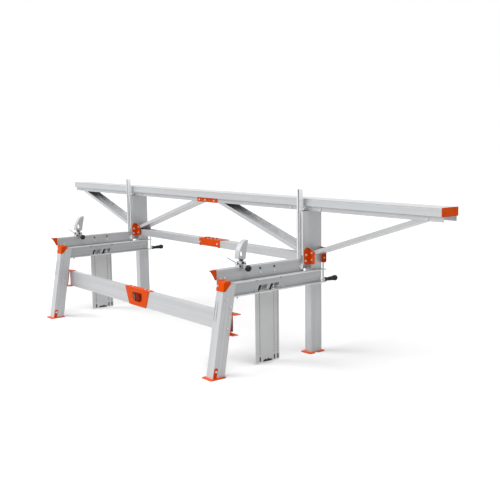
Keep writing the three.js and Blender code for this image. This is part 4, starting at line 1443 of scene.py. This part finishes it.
@dataclass(frozen=True)
class Crank(TrestlePart):
    """One crank, whose outline of the grip gives shares of its length with their radii."""

    grip_outline: Outline = (
        (0.0, 17), (0.04, 19), (0.1, 19), (0.14, 17), (0.21, 15.5), (0.45, 17.2), (0.68, 19.4),
        (0.8, 22.8), (0.88, 24.2), (0.96, 22), (1.0, 17))
    outline_steps: int = 8
    bore: float = 5.3
    ribs: int = 8
    rib_start: float = 0.26
    rib_share: float = 0.4
    rib_height: float = 0.55

    def dress(self) -> None:
        """Give the crank's shaft and arm their finish."""
        ZINC.dress(self.part("crank_shaft"), self.part("crank_arm"))

    def pieces(self) -> None:
        """Turn the crank's grip, with its finger ribs, round its spindle."""
        node = self.part("crank_grip")
        low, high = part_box(node)
        length = (high.y - low.y) / MM
        outline = [(0.0, self.bore)]
        for share, radius in flowing(self.grip_outline, self.outline_steps):
            ribbed = self.rib_start < share < self.rib_start + self.rib_share
            turn = math.tau * self.ribs * (share - self.rib_start) / self.rib_share
            rib = self.rib_height * math.sin(turn) if ribbed else 0.0
            outline.append((share * length, radius + rib))
        outline.append((length, self.bore))
        start = Vector(((low.x + high.x) / 2, low.y, (low.z + high.z) / 2))
        mesh = turned(self.part("ribbed_grip"), outline, start, BACKWARD, bored=True)
        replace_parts(add_piece(mesh.name, mesh, BLACK_PLASTIC, self.part("grip")), node)


@dataclass(frozen=True)
class Clamp(TrestlePart):
    """One log clamp: its saddle, hook and lever, the ball knob with its screw, and the spring.

    The knob's collar and dish give shares of its radius along its axis with their own radii.
    """

    knob_growth: float = 1.1
    knob_proud: float = 2
    knob_angles: range = range(-60, 79, 6)
    knob_collar: Outline = ((-1.16, 7.5), (-1.14, 9.6), (-0.98, 10.4), (-0.92, 10.6))
    knob_dish: Outline = ((0.985, 3.8), (0.955, 3.2))
    knob_sides: int = 48
    thread_pitch: float = 1.5
    thread_core: float = 4.1
    thread_turn: Outline = ((0.4, 4.2), (1.15, 5.0))
    thread_sides: int = 20
    spring_start: Triple = (3.4, -656, 853.8)
    spring_length: float = 17.0
    spring_turns: int = 6
    spring_steps: int = 14
    spring_radius: float = 7.2
    spring_gauge: float = 1.1
    spring_legs: tuple[Triple, Triple] = ((0.0, -12.0, 3.0), (0.0, 13.0, 1.0))
    hook_place: Pair = (-653, 834)
    hook_faces: Pair = (-25, 24)
    hook_bolt_size: float = 1.25
    saddle_spots: tuple[tuple[Triple, float], ...] = (
        ((24, -680, 812), 0.9), ((24, -631, 826), 0.7))

    def dress(self) -> None:
        """Give the saddle, hook and lever their finishes."""
        ZINC.dress(self.part("clamp_saddle"))
        DULL_ZINC.dress(self.part("clamp_hook"))
        OILED_STEEL.dress(self.part("clamp_lever"))

    def pieces(self) -> None:
        """Make the knob, its screw and the spring."""
        self.knob()
        self.spring()

    def knob(self) -> None:
        """Turn the clamp's ball knob and cut the thread of its screw."""
        node, body = self.part("clamp_knob"), self.part("knob")
        low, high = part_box(node)
        end = Vector((high.x + self.knob_proud * MM, (low.y + high.y) / 2, (low.z + high.z) / 2))
        radius = self.knob_growth * (high.z - low.z) / 2 / MM
        centre = end - Vector(RIGHTWARD) * radius * MM
        turns = [math.radians(angle) for angle in self.knob_angles]
        ball = [(radius * math.sin(turn), radius * math.cos(turn)) for turn in turns]
        collar, dish = ([(share * radius, reach) for share, reach in outline]
                        for outline in (self.knob_collar, self.knob_dish))
        mesh = turned(self.part("ball_knob"), [*collar, *ball, *dish], centre, RIGHTWARD,
                      count=self.knob_sides)
        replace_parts(add_piece(mesh.name, mesh, BLACK_PLASTIC, body), node)
        length = (centre.x - low.x) / MM - radius
        thread = [(0.0, self.thread_core)]
        for turn in range(int(length / self.thread_pitch)):
            thread += [(along + self.thread_pitch * turn, reach)
                       for along, reach in self.thread_turn]
        thread.append((length, self.thread_core))
        start = Vector((low.x, centre.y, centre.z))
        screw = turned(self.part("clamp_screw"), thread, start, RIGHTWARD, count=self.thread_sides)
        add_piece(screw.name, screw, ZINC, body)

    def spring(self) -> None:
        """Wind the hook's spring, with its two legs, on top of the saddle."""
        (x, y, z), radius, path = self.spring_start, self.spring_radius, []
        count = self.spring_turns * self.spring_steps
        for i in range(count + 1):
            turn, along = math.tau * i / self.spring_steps, x + self.spring_length * i / count
            out, up = radius * math.sin(turn), radius * math.cos(turn)
            path.append(spot(*self.at(along, y + out, z + up)))
        first, last = (Vector(leg) * MM for leg in self.spring_legs)
        path = [path[0] + first, *path, path[-1] + last]
        mesh = wire(self.part("hook_spring"), path, self.spring_gauge * MM, Vector(RIGHTWARD))
        add_piece(mesh.name, mesh, BLACK_STEEL, self.part("clamp"))

    def dark_seats(self) -> list[Seat]:
        """List the blackened bolts of the clamp.

        Returns:
            Their places.
        """
        (left, right), size = self.hook_faces, self.hook_bolt_size
        return [self.seat("clamp_hook", (right, *self.hook_place), RIGHTWARD, size=size),
                self.seat("clamp_hook", (left, *self.hook_place), LEFTWARD, Kind.NUT, size),
                *(self.seat("clamp_saddle", place, RIGHTWARD, size=share)
                  for place, share in self.saddle_spots)]


@dataclass(frozen=True)
class HeightPlate(TrestlePart):
    """One height plate, with the strips behind its holes, and the plugs and block at its foot.

    The steps of a plug and of the block give depths off the plate with the share that the outline
    is drawn in or out by there. A mark row gives its height and how far it is shifted back.
    """

    face: float = 12.7
    plug_places: Row = (-484.3, -337.3, -300.3)
    plug_middle: float = 39.5
    plug_half: float = 4.5
    plug_tall: float = 17.0
    plug_corner: float = 1.2
    plug_points: int = 16
    plug_steps: Outline = (
        (-3.6, 0.62), (-3.4, 0.94), (0.2, 0.94), (0.2, 1.3), (1.5, 1.26), (2.1, 1.05))
    block_middle: Triple = (12.6, -408, 24)
    block_outline: Outline = (
        (-455, 17), (-445, 29), (-428, 34), (-414, 26), (-399, 36), (-386, 25), (-372, 29),
        (-362, 15.5), (-390, 15.2), (-420, 16))
    block_steps: Outline = ((0.0, 1.0), (6.5, 1.0), (8.0, 0.94))
    backing_rows: tuple[Pair, ...] = ((-490.5, -478.1), (-343.5, -331.1), (-306.5, -294.6))
    backing_depths: Triple = (3.0, 7.2, 9.2)
    backing_folds: Triple = (1.5, 3.5, 4.0)
    backing_heights: Pair = (18, 588)
    mark_columns: Row = (-490, -472, -454, -368, -350, -332, -314)
    mark_rows: tuple[Pair, ...] = ((638, 0), (622, 4), (606, 0))
    mark_size: float = 0.6

    def dress(self) -> None:
        """Give the plate its finish."""
        GALVANISED.dress(self.part("height_plate"))

    def pieces(self) -> None:
        """Make the plugs, the block and the strips."""
        self.plugs()
        self.block()
        self.backing()

    def plugs(self) -> None:
        """Press the moulded plugs into the slots at the plate's foot."""
        shells = [[self.rounded_slot(y, depth, share) for depth, share in self.plug_steps]
                  for y in self.plug_places]
        add_shells(self.part("plate_plugs"), shells, BLACK_PLASTIC, self.part("bed"))

    def rounded_slot(self, y: float, depth: float, share: float) -> Ring:
        """Give a slot's outline.

        Args:
            y: The slot's middle.
            depth: How far the outline stands off the plate's face.
            share: How far it is drawn in or out.

        Returns:
            The outline.
        """
        ring, corner = [], self.plug_corner
        wide = self.plug_half * share - corner
        tall = self.plug_tall + self.plug_half * (share - 1.0) - corner
        for step in range(self.plug_points):
            turn = math.tau * (step + 0.5) / self.plug_points
            across, up = math.cos(turn), math.sin(turn)
            ring.append(spot(*self.at(
                self.face + depth, y + math.copysign(wide, across) + corner * across,
                self.plug_middle + math.copysign(tall, up) + corner * up)))
        return ring

    def block(self) -> None:
        """Mould the serrated block at the plate's foot."""
        x, back, up = self.block_middle
        rings = [[spot(*self.at(x + depth, back + (y - back) * share, up + (z - up) * share))
                  for y, z in self.block_outline] for depth, share in self.block_steps]
        add_shells(self.part("foot_block"), [rings], BLACK_PLASTIC, self.part("bed"))

    def backing(self) -> None:
        """Fix the folded strips behind the plate's rows of holes."""
        near, web, far = self.backing_depths
        lip, bend, fold = self.backing_folds
        shells = []
        for first, last in self.backing_rows:
            section = [(far, first), (far, last), (near, last - lip), (near, last - bend),
                       (web, last - fold), (web, first + fold), (near, first + bend),
                       (near, first + lip)]
            shells.append(raised(section, (self.side.x, 0), self.backing_heights))
        add_shells(self.part("plate_backing"), shells, BLACK_STEEL, self.part("bed"))

    def dark_seats(self) -> list[Seat]:
        """List the blackened screws that the beam's windows show.

        Returns:
            Their places.
        """
        marks = ((self.face, y + shift, z)
                 for y in self.mark_columns for z, shift in self.mark_rows)
        return [self.seat("height_plate", mark, RIGHTWARD, Kind.SCREW, self.mark_size)
                for mark in marks]


@dataclass(frozen=True)
class LogBed(TrestlePart):
    """One lifting log bed with its nose, its rack, its post and the dark fill that paints shade in
    the post's groove.

    The fill's section is set out from the front inner edge of the post's groove.
    """

    # The bed's aluminium is darkened as painted shade and the post's lightened as painted light
    bed_painted_shade: float = 0.8
    post_painted_light: float = 1.3
    web_face: float = 17
    web_places: Outline = (
        (-864, 733), (-827, 737), (-478, 743), (-334, 743), (-62, 740), (-53, 722))
    dark_web_places: Outline = ((-478, 775), (-334, 775))
    # The dark fill that paints shade in the post's groove
    groove_shade_inset: float = 13.6
    groove_shade_gap: float = 1
    groove_shade_section: Outline = (
        (0.2, 7.6), (0.2, 1.2), (1.6, 0.5), (2.6, 1.4), (3.6, 0.5), (6.0, 0.5), (7.0, 1.4),
        (8.0, 0.5), (9.0, 1.2), (9.0, 7.6))

    def dress(self) -> None:
        """Give the bed, its nose, its rack and its post their finishes, with painted shade on the
        bed and painted light on the post.
        """
        part = self.part
        # The bed is darkened as painted shade, and the post lightened as painted light, most on its
        # right-hand side face
        aluminium("bed", BACKWARD, self.bed_painted_shade).dress(part("log_bed"))
        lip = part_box(part("log_post"))[1].x - MM
        aluminium(part("post"), UPWARD, self.post_painted_light, lip).dress(part("log_post"))
        POWDER_COAT.dress(part("bed_nose"))
        ZINC.dress(part("lift_rack"))

    def pieces(self) -> None:
        """Fill the post's groove with a dark ribbed strip, as painted shade."""
        low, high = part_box(self.part("log_post"))
        edge = ((high.x - ZERO.x) / MM - self.groove_shade_inset, (low.y - ZERO.y) / MM)
        heights = (low.z / MM + self.groove_shade_gap, high.z / MM - self.groove_shade_gap)
        rings = raised(self.groove_shade_section, edge, heights)
        add_shells(self.part("post_seal"), [rings], GROOVE_SHADE, self.part("post"))

    def seats(self) -> list[Seat]:
        """List the bright bolts of the bed."""
        return [self.seat("log_bed", (self.web_face, *place), RIGHTWARD)
                for place in self.web_places]

    def dark_seats(self) -> list[Seat]:
        """List the blackened bolts of the bed."""
        return [self.seat("log_bed", (self.web_face, *place), RIGHTWARD)
                for place in self.dark_web_places]


# Stage


@dataclass(frozen=True)
class Lamp:
    """A soft far-off lamp, as wide in the sky as its spread in degrees."""

    name: str
    stands: Triple
    spread: float
    strength: float

    def build(self) -> None:
        """Hang the lamp and turn it to the mill."""
        light = bpy.data.lights.new(self.name, "SUN")
        light.angle, light.energy = math.radians(self.spread), self.strength
        lamp = bpy.data.objects.new(self.name, light)
        lamp.location = self.stands
        lamp.rotation_euler = (-lamp.location).to_track_quat("-Z", "Y").to_euler()
        bpy.context.scene.collection.objects.link(lamp)


@dataclass(frozen=True)
class Studio:
    """The pale floor, the white surroundings, the lamps and the camera."""

    floor_half: float = 60.0
    floor_tones: Pair = (0.9, 0.92)
    floor_roughness: float = 0.9
    floor_noise: Pair = (2.0, 3.0)
    bounce: float = 0.5
    world_level: float = 0.38
    lamps: tuple[Lamp, ...] = (
        Lamp("key_lamp", (-4.0, -7.0, 6.0), 50.0, 2.1),
        Lamp("top_lamp", (2.5, -0.5, 8.0), 40.0, 1.7))
    eye: Triple = (6042.8, -4280.4, 1750.9)
    heading: float = 51.4677
    tilt: float = -7.9052
    roll: float = -0.7503
    lens: float = 56.139
    sensor: float = 36.0
    sight: float = 200.0

    def build(self) -> None:
        """Set up everything that isn't part of the mill."""
        self.floor()
        self.surroundings()
        for lamp in self.lamps:
            lamp.build()
        self.camera()
        bpy.context.scene.view_settings.view_transform = "Standard"

    def floor(self) -> None:
        """Lay a plain pale floor that keeps its shadows and meets the white beyond it."""
        half = self.floor_half
        corners = [(-half, -half, 0), (half, -half, 0), (half, half, 0), (-half, half, 0)]
        mesh = bpy.data.meshes.new("floor")
        mesh.from_pydata(corners, [], [(0, 1, 2, 3)])
        material = bpy.data.materials.new("floor")
        material.use_nodes = True
        sketch = Sketch(material.node_tree)
        shader = material.node_tree.nodes["Principled BSDF"]
        shader.inputs["Roughness"].default_value = self.floor_roughness
        shader.inputs["Specular IOR Level"].default_value = 0.0
        grain = sketch.noise(sketch.place(), *self.floor_noise)
        pale = sketch.blend(grain, *map(grey, self.floor_tones))
        rays = sketch.add("ShaderNodeLightPath").outputs
        seen = sketch.maths("MAXIMUM", rays["Is Camera Ray"], rays["Is Glossy Ray"])
        sketch.feed(shader.inputs["Base Color"], sketch.blend(seen, grey(self.bounce), pale))
        mesh.materials.append(material)
        floor = bpy.data.objects.new("floor", mesh)
        bpy.context.scene.collection.objects.link(floor)
        floor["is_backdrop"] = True

    def surroundings(self) -> None:
        """Show white to the camera and to gloss, and light everything else at a plain level."""
        world = bpy.data.worlds.new("studio")
        world.use_nodes = True
        bpy.context.scene.world = world
        sketch = Sketch(world.node_tree)
        light = world.node_tree.nodes["Background"]
        light.inputs["Color"].default_value = grey(1.0)
        light.inputs["Strength"].default_value = self.world_level
        white = sketch.add("ShaderNodeBackground", {"Color": grey(1.0), "Strength": 1.0})
        rays = sketch.add("ShaderNodeLightPath").outputs
        seen = sketch.maths("MAXIMUM", rays["Is Camera Ray"], rays["Is Glossy Ray"])
        seen = sketch.maths("MAXIMUM", seen, rays["Is Transmission Ray"])
        mixed = sketch.add("ShaderNodeMixShader",
                           {0: seen, 1: light.outputs[0], 2: white.outputs[0]})
        sketch.feed(world.node_tree.nodes["World Output"].inputs["Surface"], mixed.outputs[0])

    def camera(self) -> None:
        """Stand the camera where the photograph was taken from."""
        heading, tilt, roll = map(math.radians, (self.heading, self.tilt, self.roll))
        ahead = Vector((-math.sin(heading) * math.cos(tilt), math.cos(heading) * math.cos(tilt),
                        math.sin(tilt)))
        level = Vector((math.cos(heading), math.sin(heading), 0.0))
        above = level.cross(ahead)
        across = level * math.cos(roll) + above * math.sin(roll)
        upright = above * math.cos(roll) - level * math.sin(roll)
        data = bpy.data.cameras.new("camera")
        data.sensor_width, data.lens, data.clip_end = self.sensor, self.lens, self.sight
        camera = bpy.data.objects.new("camera", data)
        turned = Matrix((across, upright, -ahead)).transposed().to_4x4()
        camera.matrix_world = Matrix.Translation(spot(*self.eye)) @ turned
        bpy.context.scene.collection.objects.link(camera)
        bpy.context.scene.camera = camera


def main() -> None:
    """Dress the mill, add its pieces and fasteners, and set the stage."""
    logging.basicConfig(level=logging.INFO, format="%(message)s")
    bright, dark, welds = [], [], []
    kinds = (Trestle, Crank, Clamp, HeightPlate, LogBed)
    for assembly in (Truss(), *(kind(side) for side in Side for kind in kinds)):
        assembly.dress()
        assembly.pieces()
        bright += assembly.seats()
        dark += assembly.dark_seats()
        welds += assembly.welds()
    for finish, seats in ((ZINC, bright), (BLACK_STEEL, dark), (POWDER_COAT, welds)):
        Fasteners().build(seats, finish)
    for piece in bpy.context.scene.objects:
        if piece.type == "MESH" and piece.name not in frame["nodes"]:
            log.info("%s: %d faces", piece.name, len(piece.data.polygons))
    Studio().build()
    boxes = {"cad": cad_box, "visual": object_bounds()}
    {name: [list(corner) for corner in box] for name, box in boxes.items()}


if __name__ == "__main__":
    main()
